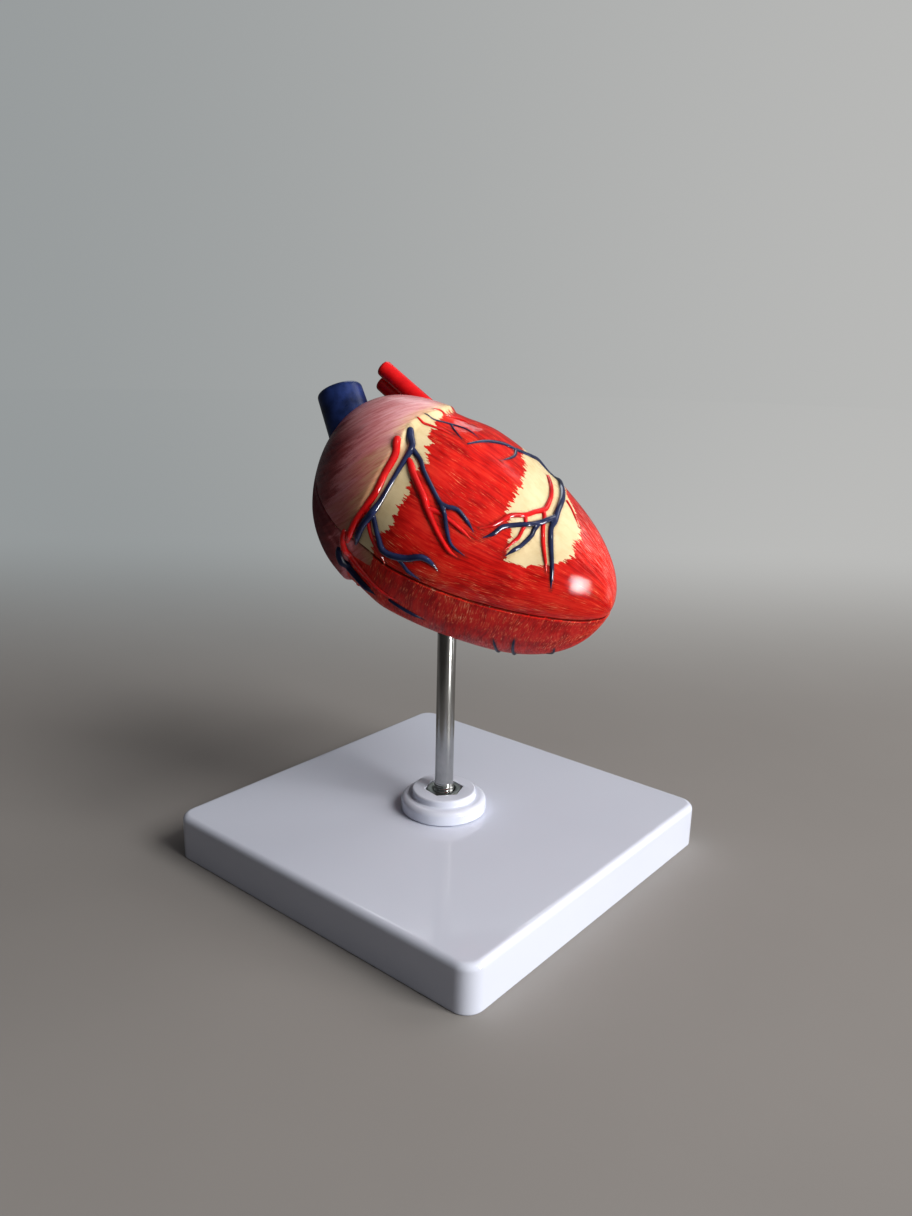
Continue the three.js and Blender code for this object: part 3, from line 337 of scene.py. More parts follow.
def modified(made, kind, **settings):
    """Replaces an object's mesh by what one modifier makes of it."""
    modifier = made.modifiers.new(kind.lower(), kind)
    for key, value in settings.items():
        setattr(modifier, key, value)
    bpy.context.view_layer.update()
    evaluated = made.evaluated_get(bpy.context.evaluated_depsgraph_get())
    mesh = bpy.data.meshes.new_from_object(evaluated)
    made.modifiers.clear()
    made.data = mesh


def carve(made, tool, operation="DIFFERENCE"):
    """Boolean of two closed meshes. The tool is used up."""
    modified(made, "BOOLEAN", object=tool, operation=operation, solver="EXACT")
    bpy.data.objects.remove(tool)


def eased(made, width, segments, angle, sharp):
    """Rounds the edges of a carved piece that are sharper than an angle in degrees."""
    modified(made, "BEVEL", width=width, segments=segments, limit_method="ANGLE",
             angle_limit=math.radians(angle))
    shade(made, sharp)
    return made


def circle(radius, height, sides, start=0):
    """Points round the Z axis at one height."""
    turns = [start + 2 * math.pi * side / sides for side in range(sides)]
    return [(radius * math.cos(turn), radius * math.sin(turn), height) for turn in turns]


def ring_faces(rings, sides, looped=False):
    """Quads between rings of points, and back to the first ring where the rings make a loop."""
    faces = []
    for ring in range(rings if looped else rings - 1):
        low = ring * sides
        high = (ring + 1) % rings * sides
        for side in range(sides):
            after = (side + 1) % sides
            faces.append((low + side, low + after, high + after, high + side))
    return faces


def tube_faces(rings, sides):
    """Quads between rings of points, and a face over each end."""
    last = (rings - 1) * sides
    return ring_faces(rings, sides) + [tuple(range(sides)), tuple(range(last, last + sides))]


def lathe(name, profile, sides=96, matrix=Matrix(), sharp=40):
    """A turned piece about +Z from radius and height pairs. A profile that leaves the axis is a ring."""
    solid = profile[0][0] == 0
    inner = profile[1:-1] if solid else profile
    points = [point for radius, height in inner for point in circle(radius, height, sides)]
    faces = tube_faces(len(inner), sides) if solid else ring_faces(len(inner), sides, looped=True)
    return new_object(name, points, faces, matrix, sharp)


def fillet(centre, radius, start, end, steps):
    """Points of an arc between two angles in degrees, for a lathe profile."""
    turns = [math.radians(start + (end - start) * step / steps) for step in range(steps + 1)]
    return [(centre[0] + radius * math.cos(turn), centre[1] + radius * math.sin(turn)) for turn in turns]


def cylinder(name, radius, low, high):
    """A closed cylinder on the Z axis, only used to carve with."""
    return lathe(name, [(0, low), (radius, low), (radius, high), (0, high)])


def box(name, across, along, low, high):
    """A closed box round the Z axis from half its width and depth, only used to carve with."""
    corners = [(x, y, z) for x in (-across, across) for y in (-along, along) for z in (low, high)]
    faces = [(0, 1, 3, 2), (4, 6, 7, 5), (0, 4, 5, 1), (2, 3, 7, 6), (0, 2, 6, 4), (1, 5, 7, 3)]
    return new_object(name, corners, faces)


def hexagon(name, corner_radius, low, high):
    """An upright hexagonal prism on the Z axis, turned as the nuts are."""
    points = circle(corner_radius, low, 6, NUT_TURN) + circle(corner_radius, high, 6, NUT_TURN)
    return new_object(name, points, tube_faces(2, 6))


def value_noise(points, seed):
    """Smooth noise from 0 to 1 at points, about one unit from bump to bump."""
    cell = np.floor(points).astype(np.int64)
    share = points - cell
    share = share * share * (3 - 2 * share)
    total = np.zeros(len(points))
    for corner in range(8):
        step = np.array([corner & 1, corner >> 1 & 1, corner >> 2])
        key = ((cell + step) * CELL_PRIMES).sum(1) + seed * SEED_PRIME
        key = ((key ^ (key >> 13)) * MIXING_PRIME) & 0x7FFFFFFF
        weight = np.where(step, share, 1 - share).prod(1)
        total += weight * (key % NOISE_LEVELS) / NOISE_LEVELS
    return total


# Heart surface

def heart_matrix():
    """The heart's own frame: x along it to the apex, y across to the far side, z out of its front half."""
    lengthwise = Vector((math.cos(HEART_YAW) * math.cos(HEART_PITCH),
                         math.sin(HEART_YAW) * math.cos(HEART_PITCH),
                         -math.sin(HEART_PITCH)))
    level = Vector((-math.sin(HEART_YAW), math.cos(HEART_YAW), 0))
    upright = lengthwise.cross(level)
    across = level * math.cos(HEART_TILT) + upright * math.sin(HEART_TILT)
    outward = lengthwise.cross(across)
    return Matrix.Translation(HEART_CENTRE) @ Matrix((lengthwise, across, outward)).transposed().to_4x4()


HEART = heart_matrix()


def smooth_step(start, end, value):
    share = np.clip((value - start) / (end - start), 0, 1)
    return share * share * (3 - 2 * share)


def fade_over(angles, angle):
    start, full, still, end = angles
    return smooth_step(start, full, angle) * (1 - smooth_step(still, end, angle))


def unit(vectors):
    return vectors / np.maximum(np.linalg.norm(vectors, axis=-1, keepdims=True), 1e-12)


def reach_at(side, along, inset):
    reach, slope, bend = side
    swell = 1 + slope * along + bend * along * along
    return (reach - inset) * np.sqrt(np.maximum(0, 1 - along * along)) * swell


def reaches(across, outward, along, inset=0.0):
    """The surface's reach across and outwards, each on the side that the first values lie on."""
    sides = np.where(across > 0, reach_at(FAR_SIDE, along, inset), reach_at(NEAR_SIDE, along, inset))
    fronts = np.where(outward > 0, reach_at(FRONT_SIDE, along, inset), reach_at(BACK_SIDE, along, inset))
    return sides, fronts


def groove_edge(angle):
    """The station where the atria end and the groove begins."""
    return GROOVE_EDGE + AURICLE_REACH * fade_over(AURICLE_ANGLES, angle)


def groove_at(station, angle):
    edge = groove_edge(angle)
    floor = edge - GROOVE_EDGE + GROOVE_FLOOR
    atria = smooth_step(edge, edge + GROOVE_EDGE_WIDTH, station)
    atria = atria * (1 - smooth_step(floor, floor + GROOVE_RUN_OUT, station))
    middle = SEPTUM_START + SEPTUM_SLOPE * (angle - SEPTUM_MIDDLE_ANGLE)
    offset = np.minimum(1, np.abs(station - middle) / SEPTUM_HALF_WIDTH)
    septum = fade_over(SEPTUM_ANGLES, angle) * (0.5 + 0.5 * np.cos(np.pi * offset))
    return GROOVE_DEPTH * atria + SEPTUM_DEPTH * septum


def surface_point(along, angle, inset=0.0):
    """Points of the surface from their share of the half length and their angle in degrees."""
    along, angle = np.broadcast_arrays(np.asarray(along, float), np.asarray(angle, float))
    turn = np.radians(angle)
    sides, fronts = reaches(np.cos(turn), np.sin(turn), along, inset)
    across = np.cos(turn) * sides
    outward = np.sin(turn) * fronts
    station = along * (HALF_LENGTH - inset)
    if inset == 0:
        radius = np.maximum(np.hypot(across, outward), 1e-9)
        share = np.minimum(1, radius / GROOVE_FULL_RADIUS)
        drawn = 1 - np.where(radius > MM, groove_at(station, angle) * share / radius, 0)
        across = across * drawn
        outward = outward * drawn
    return np.stack([station, across, outward], -1)


def surface_normal(along, angle):
    ahead = surface_point(np.minimum(along + NORMAL_STEP, NORMAL_END), angle)
    behind = surface_point(np.maximum(along - NORMAL_STEP, -NORMAL_END), angle)
    around = surface_point(along, angle + NORMAL_ANGLE) - surface_point(along, angle - NORMAL_ANGLE)
    return unit(-np.cross(ahead - behind, around))


def lumps(points):
    """How far the hand-finished surface stands in or out at points of it."""
    broad = value_noise(points / LUMP_SIZE, LUMP_SEED)
    fine = value_noise(points / FINE_LUMP_SIZE, FINE_LUMP_SEED)
    return LUMP_HEIGHT * (broad + 0.5 * fine - 0.75)


def stations_and_angles(points, front):
    """The station in mm and the angle in degrees of points on the shell."""
    along = np.clip(points[:, 0] / HALF_LENGTH, -0.9999, 0.9999)
    sides, fronts = reaches(points[:, 1], points[:, 2], along)
    angle = np.degrees(np.arctan2(points[:, 2] / fronts, points[:, 1] / sides)) % 360
    if front:
        angle = np.where(angle > 270, angle - 360, angle)
    else:
        angle = np.where(angle < 90, angle + 360, angle)
    return points[:, 0] / MM, angle


def shell_alongs():
    """Shares of the half length where the shell has rings, closer together at the groove's edge."""
    even = -np.cos(np.pi * np.arange(1, SHELL_RINGS) / SHELL_RINGS)
    clear = even[(even < GROOVE_RINGS[0] - RING_CLEARANCE) | (even > GROOVE_RINGS[-1] + RING_CLEARANCE)]
    return np.sort(np.concatenate([clear, GROOVE_RINGS]))


def half_angles(step):
    """Angles of a half from rim to rim, closer together at both rims."""
    first = RIM_ANGLES[-1] + step
    middle = np.linspace(first, 180 - first, round((180 - 2 * first) / step))
    return np.concatenate([RIM_ANGLES, middle, 180 - RIM_ANGLES[::-1]])


def rim_normals(along, angle):
    """The direction in the parting plane that the rim faces, at its far or near side."""
    turn = np.arccos(-along)
    here = np.where(np.cos(np.radians(angle)) > 0, 0.0, 180.0)
    run = surface_point(-np.cos(turn + RIM_STEP), here) - surface_point(-np.cos(turn - RIM_STEP), here)
    normal = unit(np.stack([run[..., 1], -run[..., 0], np.zeros_like(run[..., 0])], -1))
    outward = np.where(here > 90, -1.0, 1.0)
    return np.where((normal[..., 1] * outward < 0)[..., None], -normal, normal)


def parted(points, front):
    """Moves points of a half off the parting plane by half the seat gap, and less away from the plane."""
    height = np.abs(points[..., 2])
    sign = 1.0 if front else -1.0
    points[..., 2] = sign * (height + SEAT_GAP / 2 * np.exp(-height / RIM_SHIFT_FADE))
    return points


def outside_of(along, angle, front):
    """The outside of a half: its lumps, its uneven lip along the seam and its rounded rim."""
    points = surface_point(along, angle)
    raised = lumps(points.reshape(-1, 3)).reshape(along.shape)
    points = parted(points + surface_normal(along, angle) * raised[..., None], front)
    if front:
        lip = -FRONT_RIM_DRAWN_IN * np.exp(-((points[..., 2] / FRONT_RIM_WIDTH) ** 2))
    else:
        uneven = value_noise(points.reshape(-1, 3) / LIP_LENGTH, LIP_SEED).reshape(along.shape)
        lip = LIP_HEIGHT * smooth_step(0.1, 0.7, uneven) * np.exp(-np.abs(points[..., 2]) / LIP_WIDTH)
    past_atria = smooth_step(*LIP_START, points[..., 0])
    facing = rim_normals(along, angle)
    points = points + facing * (lip * past_atria)[..., None]
    height = np.clip(np.abs(points[..., 2]) - SEAT_GAP / 2, 0, RIM_RADIUS)
    pulled = RIM_RADIUS - np.sqrt(np.maximum(0, RIM_RADIUS**2 - (RIM_RADIUS - height) ** 2))
    return points - facing * pulled[..., None]


def shell_half(name, front):
    """One half of the hollow heart. Each ring runs over its outside and back over its inside."""
    alongs = shell_alongs()
    turned = 0.0 if front else 180.0
    outer = outside_of(*np.meshgrid(alongs, half_angles(OUTER_ANGLE_STEP) + turned, indexing="ij"), front)
    grid = np.meshgrid(alongs, half_angles(INNER_ANGLE_STEP) + turned, indexing="ij")
    inner = parted(surface_point(*grid, SHELL_WALL), front)
    plane = SEAT_GAP / 2 if front else -SEAT_GAP / 2
    poles = [(end * (HALF_LENGTH - cut), 0, plane) for end in (-1, 1) for cut in (RIM_RADIUS, SHELL_WALL)]
    wall = np.concatenate([outer, inner[:, ::-1]], axis=1)
    rings, sides = wall.shape[:2]
    faces = ring_faces(rings, sides)
    for end, low in enumerate((0, (rings - 1) * sides)):
        outer_pole = rings * sides + 2 * end
        inner_pole = outer_pole + 1
        first_inner = low + outer.shape[1]
        last_inner = low + sides - 1
        faces += [(outer_pole, side, side + 1) for side in range(low, first_inner - 1)]
        faces += [(inner_pole, side, side + 1) for side in range(first_inner, last_inner)]
        faces.append((outer_pole, low, last_inner, inner_pole))
        faces.append((outer_pole, first_inner - 1, first_inner, inner_pole))
    return new_object(name, [*wall.reshape(-1, 3), *poles], faces, HEART, SHELL_SHARP)


def heart_core():
    """A closed form of the whole heart, set in by how far the great vessels sink into the shell."""
    alongs = -np.cos(np.pi * np.arange(1, CORE_RINGS + 1) / (CORE_RINGS + 1))
    along, angle = np.meshgrid(alongs, 360 * np.arange(CORE_SIDES) / CORE_SIDES, indexing="ij")
    end = HALF_LENGTH - GREAT_VESSEL_SINK
    points = [*surface_point(along, angle, GREAT_VESSEL_SINK).reshape(-1, 3), (-end, 0, 0), (end, 0, 0)]
    faces = ring_faces(CORE_RINGS, CORE_SIDES)
    for pole, low in ((len(points) - 2, 0), (len(points) - 1, (CORE_RINGS - 1) * CORE_SIDES)):
        faces += [(pole, low + side, low + (side + 1) % CORE_SIDES) for side in range(CORE_SIDES)]
    return new_object("inside", points, faces, HEART)


def point_attribute(made, name, values):
    """Writes a number or a place at each point of a mesh."""
    values = np.asarray(values, np.float32)
    kind, key = ("FLOAT", "value") if values.ndim == 1 else ("FLOAT_VECTOR", "vector")
    made.data.attributes.new(name, kind, "POINT").data.foreach_set(key, values.reshape(-1))


def vertices_of(made):
    flat = np.zeros(len(made.data.vertices) * 3, np.float32)
    made.data.vertices.foreach_get("co", flat)
    return flat.reshape(-1, 3).astype(float)


def inside_band(table, station, angle):
    """How far inside a band of fat points are, in mm, negative outside it."""
    angles, *stations = np.array(table).T
    ends = [np.interp(angle, angles, column) for column in stations]
    inside = ends[-1] - station
    if len(ends) == 2:
        inside = np.minimum(inside, station - ends[0])
    return np.minimum(inside, np.minimum(angle - angles[0], angles[-1] - angle) * ARC_PER_DEGREE)


def crease(points, strands):
    """How close points lie beside a raised vessel, from 0 away from it to 1 under it, for the painted shade in
    the creases.
    """
    spots = []
    for branches in strands.values():
        for branch in branches:
            path = catmull_rom([waypoint[:3] for waypoint in branch], np.linspace(0, 1, CREASE_SPOTS))
            place = surface_point(path[:, 0] * MM / HALF_LENGTH, path[:, 1])
            spots += [(Vector(spot), half_width) for spot, half_width in zip(place, path[:, 2])]
    tree = KDTree(len(spots))
    for index, (spot, _) in enumerate(spots):
        tree.insert(spot, index)
    tree.balance()
    beside = []
    for point in points:
        _, index, distance = tree.find(Vector(point))
        beside.append(distance / MM - spots[index][1])
    return 1 - smooth_step(0, CREASE_WIDTH, np.array(beside))


def mark_shell(made, front):
    """Writes on the shell's points where they are, for its paint."""
    points = vertices_of(made)
    station, angle = stations_and_angles(points, front)
    point_attribute(made, "place", np.stack([station, angle * ARC_PER_DEGREE, np.zeros_like(station)], -1))
    point_attribute(made, "angle", angle)
    bands = [inside_band(table, station, angle) for table in FAT_BANDS]
    point_attribute(made, "fat", np.maximum.reduce(bands))
    patch = 0 if front else PINK_PATCH * fade_over(PINK_PATCH_ANGLES, angle)
    lap = ATRIUM_LAP * smooth_step(*ATRIUM_LAP_ANGLES, angle)
    point_attribute(made, "atrium", groove_edge(angle) / MM - station + patch + lap)
    point_attribute(made, "seam", np.abs(points[:, 2]) / MM)
    point_attribute(made, "crease", crease(points, FRONT_STRANDS if front else BACK_STRANDS))


# Strands

def catmull_rom(points, shares):
    """A uniform Catmull-Rom curve through points, at shares of its length in points."""
    points = np.asarray(points, float)
    padded = np.concatenate([[2 * points[0] - points[1]], points, [2 * points[-1] - points[-2]]])
    spot = shares * (len(points) - 1)
    first = np.minimum(spot.astype(int), len(points) - 2)
    weight = (spot - first)[:, None]
    before, start, end, after = (padded[first + offset] for offset in range(4))
    start_run = 0.5 * (end - before)
    end_run = 0.5 * (after - start)
    square = weight * weight
    cube = square * weight
    return ((2 * cube - 3 * square + 1) * start + (cube - 2 * square + weight) * start_run
            + (3 * square - 2 * cube) * end + (cube - square) * end_run)


def strand_tube(waypoints):
    """Points and faces of one vessel branch lying on the heart, with rounded ends."""
    full = [tuple(waypoint) + (0,) * (4 - len(waypoint)) for waypoint in waypoints]
    even = np.linspace(0, 1, CURVE_SPOTS)
    rough = catmull_rom(full, even)
    path = surface_point(rough[:, 0] * MM / HALF_LENGTH, rough[:, 1])
    length = np.concatenate([[0], np.cumsum(np.linalg.norm(np.diff(path, axis=0), axis=1))])
    travelled = np.linspace(0, length[-1], max(8, int(length[-1] / STRAND_STEP)))
    spots = catmull_rom(full, np.interp(travelled, length, even))
    along = spots[:, 0] * MM / HALF_LENGTH
    centre = surface_point(along, spots[:, 1])
    normal = surface_normal(along, spots[:, 1])
    centre = centre + normal * lumps(centre)[:, None]
    side = unit(np.cross(np.gradient(centre, axis=0), normal))
    half_width = spots[:, 2] * MM
    to_end = np.minimum(travelled, length[-1] - travelled)
    roundness = np.sqrt(1 - (1 - np.minimum(1, to_end / half_width)) ** 2)
    tip = 1 - smooth_step(0, min(TIP_LENGTH, 0.5 * length[-1]), length[-1] - travelled)
    height = half_width * (STRAND_SINK - TIP_SINK * tip) + spots[:, 3] * MM
    half_width = half_width * np.maximum(roundness, END_WIDTH) * (1 - (1 - TIP_WIDTH) * tip)
    turns = 2 * np.pi * np.arange(STRAND_SIDES) / STRAND_SIDES
    sideways = half_width[:, None] * np.cos(turns)
    upwards = height[:, None] + STRAND_RISE * half_width[:, None] * np.sin(turns)
    points = centre[:, None] + side[:, None] * sideways[..., None] + normal[:, None] * upwards[..., None]
    return points.reshape(-1, 3), tube_faces(len(spots), STRAND_SIDES)


def strand_tree(name, branches, front):
    """All branches of a vessel, melted together where they join."""
    points = []
    faces = []
    for branch in branches:
        branch_points, branch_faces = strand_tube(branch)
        faces += [tuple(corner + len(points) for corner in face) for face in branch_faces]
        points += list(branch_points)
    made = new_object(name, points, faces, HEART)
    modified(made, "REMESH", mode="VOXEL", voxel_size=STRAND_VOXEL, adaptivity=0)
    modified(made, "SMOOTH", factor=0.5, iterations=4)
    shade(made, 60)
    flat = (1, ARC_PER_DEGREE)
    ends = np.array([branch[-1][:2] for branch in branches]) * flat
    spots = np.stack(stations_and_angles(vertices_of(made), front), -1) * flat
    away = np.min(np.linalg.norm(spots[:, None] - ends[None], axis=2), axis=1)
    point_attribute(made, "tip", np.clip(1 - away / TIP_PAINT_LENGTH, 0, 1))
    return made


def great_vessel(name, root, tip, root_radius, tip_radius):
    """A plain tube stub with a rounded end, rooted in the shell and cut at the parting plane."""
    start = Vector(root) * MM
    run = Vector(tip) * MM - start
    root_radius *= MM
    tip_radius *= MM
    edge = (0.45 if tip_radius < THIN_STUB_RADIUS else 0.22) * tip_radius
    dish = 0.05 * tip_radius
    top = run.length
    profile = [(0, 0)]
    for step in range(STUB_STEPS):
        share = step / STUB_STEPS
        profile.append((root_radius + (tip_radius - root_radius) * share, (top - edge) * share))
    profile += fillet((tip_radius - edge, top - edge), edge, 0, 90, 8)
    profile += [(0.5 * tip_radius, top - 0.2 * dish), (0.3 * tip_radius, top - 0.8 * dish),
                (0.04 * tip_radius, top - dish), (0, top - dish)]
    made = lathe(name, profile, 72, HEART)
    turn = Vector((0, 0, 1)).rotation_difference(run).to_matrix().to_4x4()
    made.data.transform(Matrix.Translation(start) @ turn)
    sign = 1 if root[2] > 0 else -1
    work = bmesh.new()
    work.from_mesh(made.data)
    cut = bmesh.ops.bisect_plane(
        work,
        geom=list(work.verts) + list(work.edges) + list(work.faces),
        plane_co=(0, 0, sign * SEAT_GAP / 2),
        plane_no=(0, 0, -sign),
        clear_outer=True,
    )
    edges = [item for item in cut["geom_cut"] if isinstance(item, bmesh.types.BMEdge)]
    if edges:
        bmesh.ops.edgeloop_fill(work, edges=edges)
    bmesh.ops.recalc_face_normals(work, faces=work.faces)
    work.to_mesh(made.data)
    work.free()
    carve(made, heart_core())
    shade(made, 45)
    return made


# Stand

def quarter(steps):
    """The angles of a quarter turn in even steps."""
    return [math.pi / 2 * step / steps for step in range(steps + 1)]


def base_outline(inset, height):
    """The base's rounded square at one height, drawn in by an inset."""
    half = BASE_WIDTH / 2 - BASE_CORNER_RADIUS
    radius = BASE_CORNER_RADIUS - inset
    points = []
    for corner, (x, y) in enumerate(((half, half), (-half, half), (-half, -half), (half, -half))):
        for rise in quarter(BASE_CORNER_STEPS):
            turn = math.pi / 2 * corner + rise
            points.append((x + radius * math.cos(turn), y + radius * math.sin(turn), height))
    return points


def base_plate():
    """Hollow square moulding with rounded edges, ribs and a boss underneath."""
    top = BASE_HEIGHT - BASE_EDGE_RADIUS
    outlines = [(BASE_FOOT_RADIUS * (1 - math.sin(turn)), BASE_FOOT_RADIUS * (1 - math.cos(turn)))
                for turn in quarter(4)]
    outlines += [(0, BASE_FOOT_RADIUS + BASE_EASE), (0, top - BASE_EASE)]
    outlines += [(BASE_EDGE_RADIUS * (1 - math.cos(turn)), top + BASE_EDGE_RADIUS * math.sin(turn))
                 for turn in quarter(10)]
    outlines += [(BASE_EDGE_RADIUS + BASE_TOP_INSET, BASE_HEIGHT)]
    points = [point for outline in outlines for point in base_outline(*outline)]
    made = new_object("base_plate_moulding", points, tube_faces(len(outlines), len(points) // len(outlines)))
    inner = BASE_WIDTH / 2 - BASE_WALL
    ceiling = BASE_HEIGHT - BASE_TOP_WALL
    boss_low = BASE_HEIGHT - BASE_BOSS_DEPTH
    hollow = box("hollow", inner, inner, -MM, ceiling)
    carve(hollow, box("rib", inner + MM, BASE_RIB_WIDTH / 2, BASE_RIB_LIFT, ceiling + MM))
    carve(hollow, box("rib", BASE_RIB_WIDTH / 2, inner + MM, BASE_RIB_LIFT, ceiling + MM))
    carve(hollow, cylinder("boss", BASE_BOSS_RADIUS, boss_low, ceiling + MM))
    carve(made, hollow)
    carve(made, cylinder("fasteners", BASE_BOSS_RADIUS, -MM, boss_low))
    carve(made, cylinder("hole", HOLE_RADIUS, -MM, BASE_HEIGHT + MM))
    shade(made, 30)
    return made


def rod_collar():
    """Stepped round collar with a hexagonal pocket."""
    low = BASE_HEIGHT + SEAT_GAP
    step = low + COLLAR_LOWER_HEIGHT
    neck = 0.5 * MM
    ease = 0.3 * MM
    shoulder = (COLLAR_RADIUS - COLLAR_SHOULDER_RADIUS, step - COLLAR_SHOULDER_RADIUS)
    lip = (COLLAR_UPPER_RADIUS - COLLAR_LIP_RADIUS, COLLAR_TOP - COLLAR_LIP_RADIUS)
    profile = [(0, low), (COLLAR_RADIUS - ease, low), (COLLAR_RADIUS, low + ease)]
    profile += [(COLLAR_RADIUS, shoulder[1] - ease)]
    profile += fillet(shoulder, COLLAR_SHOULDER_RADIUS, 0, 90, 10)
    profile += [(shoulder[0] - 0.2 * MM, step)]
    profile += reversed(fillet((COLLAR_UPPER_RADIUS + neck, step + neck), neck, 180, 270, 5))
    profile += [(COLLAR_UPPER_RADIUS, lip[1] - 0.1 * MM)]
    profile += fillet(lip, COLLAR_LIP_RADIUS, 0, 90, 8)
    profile += [(lip[0] - ease, COLLAR_TOP), (0, COLLAR_TOP)]
    made = lathe("rod_collar_moulding", profile, 128)
    corner = (NUT_ACROSS_FLATS + 2 * SEAT_GAP) / math.sqrt(3)
    carve(made, hexagon("pocket", corner, NUT_FLOOR, COLLAR_TOP + MM))
    carve(made, cylinder("bore", HOLE_RADIUS, low - MM, COLLAR_TOP))
    return eased(made, 0.25 * MM, 3, 50, 35)


def hexagon_nut(name, low):
    """Hexagon nut with chamfered corners and a bore."""
    corner = NUT_ACROSS_FLATS / math.sqrt(3)
    flat = NUT_ACROSS_FLATS / 2
    drop = (corner - flat) * math.tan(NUT_CHAMFER)
    past = corner + 0.01 * MM
    high = low + NUT_HEIGHT
    made = hexagon(name, corner, low, high)
    carve(made, lathe("crown", [(0, low), (flat, low), (past, low + drop), (past, high - drop), (flat, high),
                                (0, high)]), "INTERSECT")
    bore = THREAD_RADIUS + 0.6 * RUNNING_GAP
    mouth = bore + NUT_BORE_SINK + MM
    carve(made, lathe("bore", [(0, low - MM), (mouth, low - MM), (bore, low + NUT_BORE_SINK),
                               (bore, high - NUT_BORE_SINK), (mouth, high + MM), (0, high + MM)]))
    return eased(made, 0.12 * MM, 2, 25, 30)


def flat_washer():
    low = WASHER_TOP - WASHER_THICKNESS
    edge = 0.25 * MM
    profile = [(HOLE_RADIUS, low + edge), (HOLE_RADIUS + edge, low), (WASHER_RADIUS - edge, low),
               (WASHER_RADIUS, low + edge), (WASHER_RADIUS, WASHER_TOP - edge),
               (WASHER_RADIUS - edge, WASHER_TOP), (HOLE_RADIUS + edge, WASHER_TOP),
               (HOLE_RADIUS, WASHER_TOP - edge)]
    return lathe("flat_washer", profile, sharp=30)


def threaded_rod():
    """Bright rod: a cut thread at its foot, a plain shaft and a thin spigot with a step."""
    thread_top = UPPER_NUT_LOW + NUT_HEIGHT + THREAD_ABOVE_NUT
    heights = np.arange(ROD_BOTTOM, thread_top, THREAD_PITCH / THREAD_STEPS)
    turns = 2 * np.pi * np.arange(ROD_SIDES) / ROD_SIDES
    points = []
    for height in heights:
        phase = (height / THREAD_PITCH - turns / (2 * np.pi)) % 1
        depth = THREAD_DEPTH * np.clip(THREAD_CREST - np.abs(phase - 0.5) * THREAD_FLANK, 0, 1)
        run_out = np.clip((thread_top - height) / THREAD_PITCH, 0, 1)
        start = np.clip((height - ROD_BOTTOM) / THREAD_DEPTH, 0, 1)
        radius = THREAD_RADIUS - depth * run_out
        radius = radius * run_out + ROD_RADIUS * (1 - run_out) - THREAD_DEPTH * (1 - start)
        points += [(r * math.cos(t), r * math.sin(t), height) for r, t in zip(radius, turns)]
    edge = 0.3 * MM
    top = ROD_SHOULDER + SPIGOT_LENGTH
    plain = [(ROD_RADIUS, thread_top), (ROD_RADIUS, thread_top + edge), (ROD_RADIUS, ROD_SHOULDER - 2 * edge),
             (ROD_RADIUS, ROD_SHOULDER - edge), (ROD_RADIUS - edge, ROD_SHOULDER),
             (SPIGOT_RADIUS, ROD_SHOULDER), (SPIGOT_RADIUS, top - edge), (SPIGOT_RADIUS - edge, top)]
    for radius, height in plain:
        points += circle(radius, height, ROD_SIDES)
    return new_object("threaded_rod", points, tube_faces(len(heights) + len(plain), ROD_SIDES), sharp=35)


def pivot_cap():
    low = ROD_SHOULDER + SEAT_GAP
    inside = SPIGOT_RADIUS + SEAT_GAP
    edge = 0.6 * MM
    ease = 0.2 * MM
    profile = [(0, PIVOT_CAP_INSIDE), (inside, PIVOT_CAP_INSIDE), (inside, low),
               (PIVOT_CAP_RADIUS - ease, low), (PIVOT_CAP_RADIUS, low + ease),
               (PIVOT_CAP_RADIUS, PIVOT_CAP_TOP - 2 * edge)]
    profile += fillet((PIVOT_CAP_RADIUS - edge, PIVOT_CAP_TOP - edge), edge, 0, 90, 6)
    return lathe("pivot_cap_turning", profile + [(0, PIVOT_CAP_TOP)], 64)


# Materials

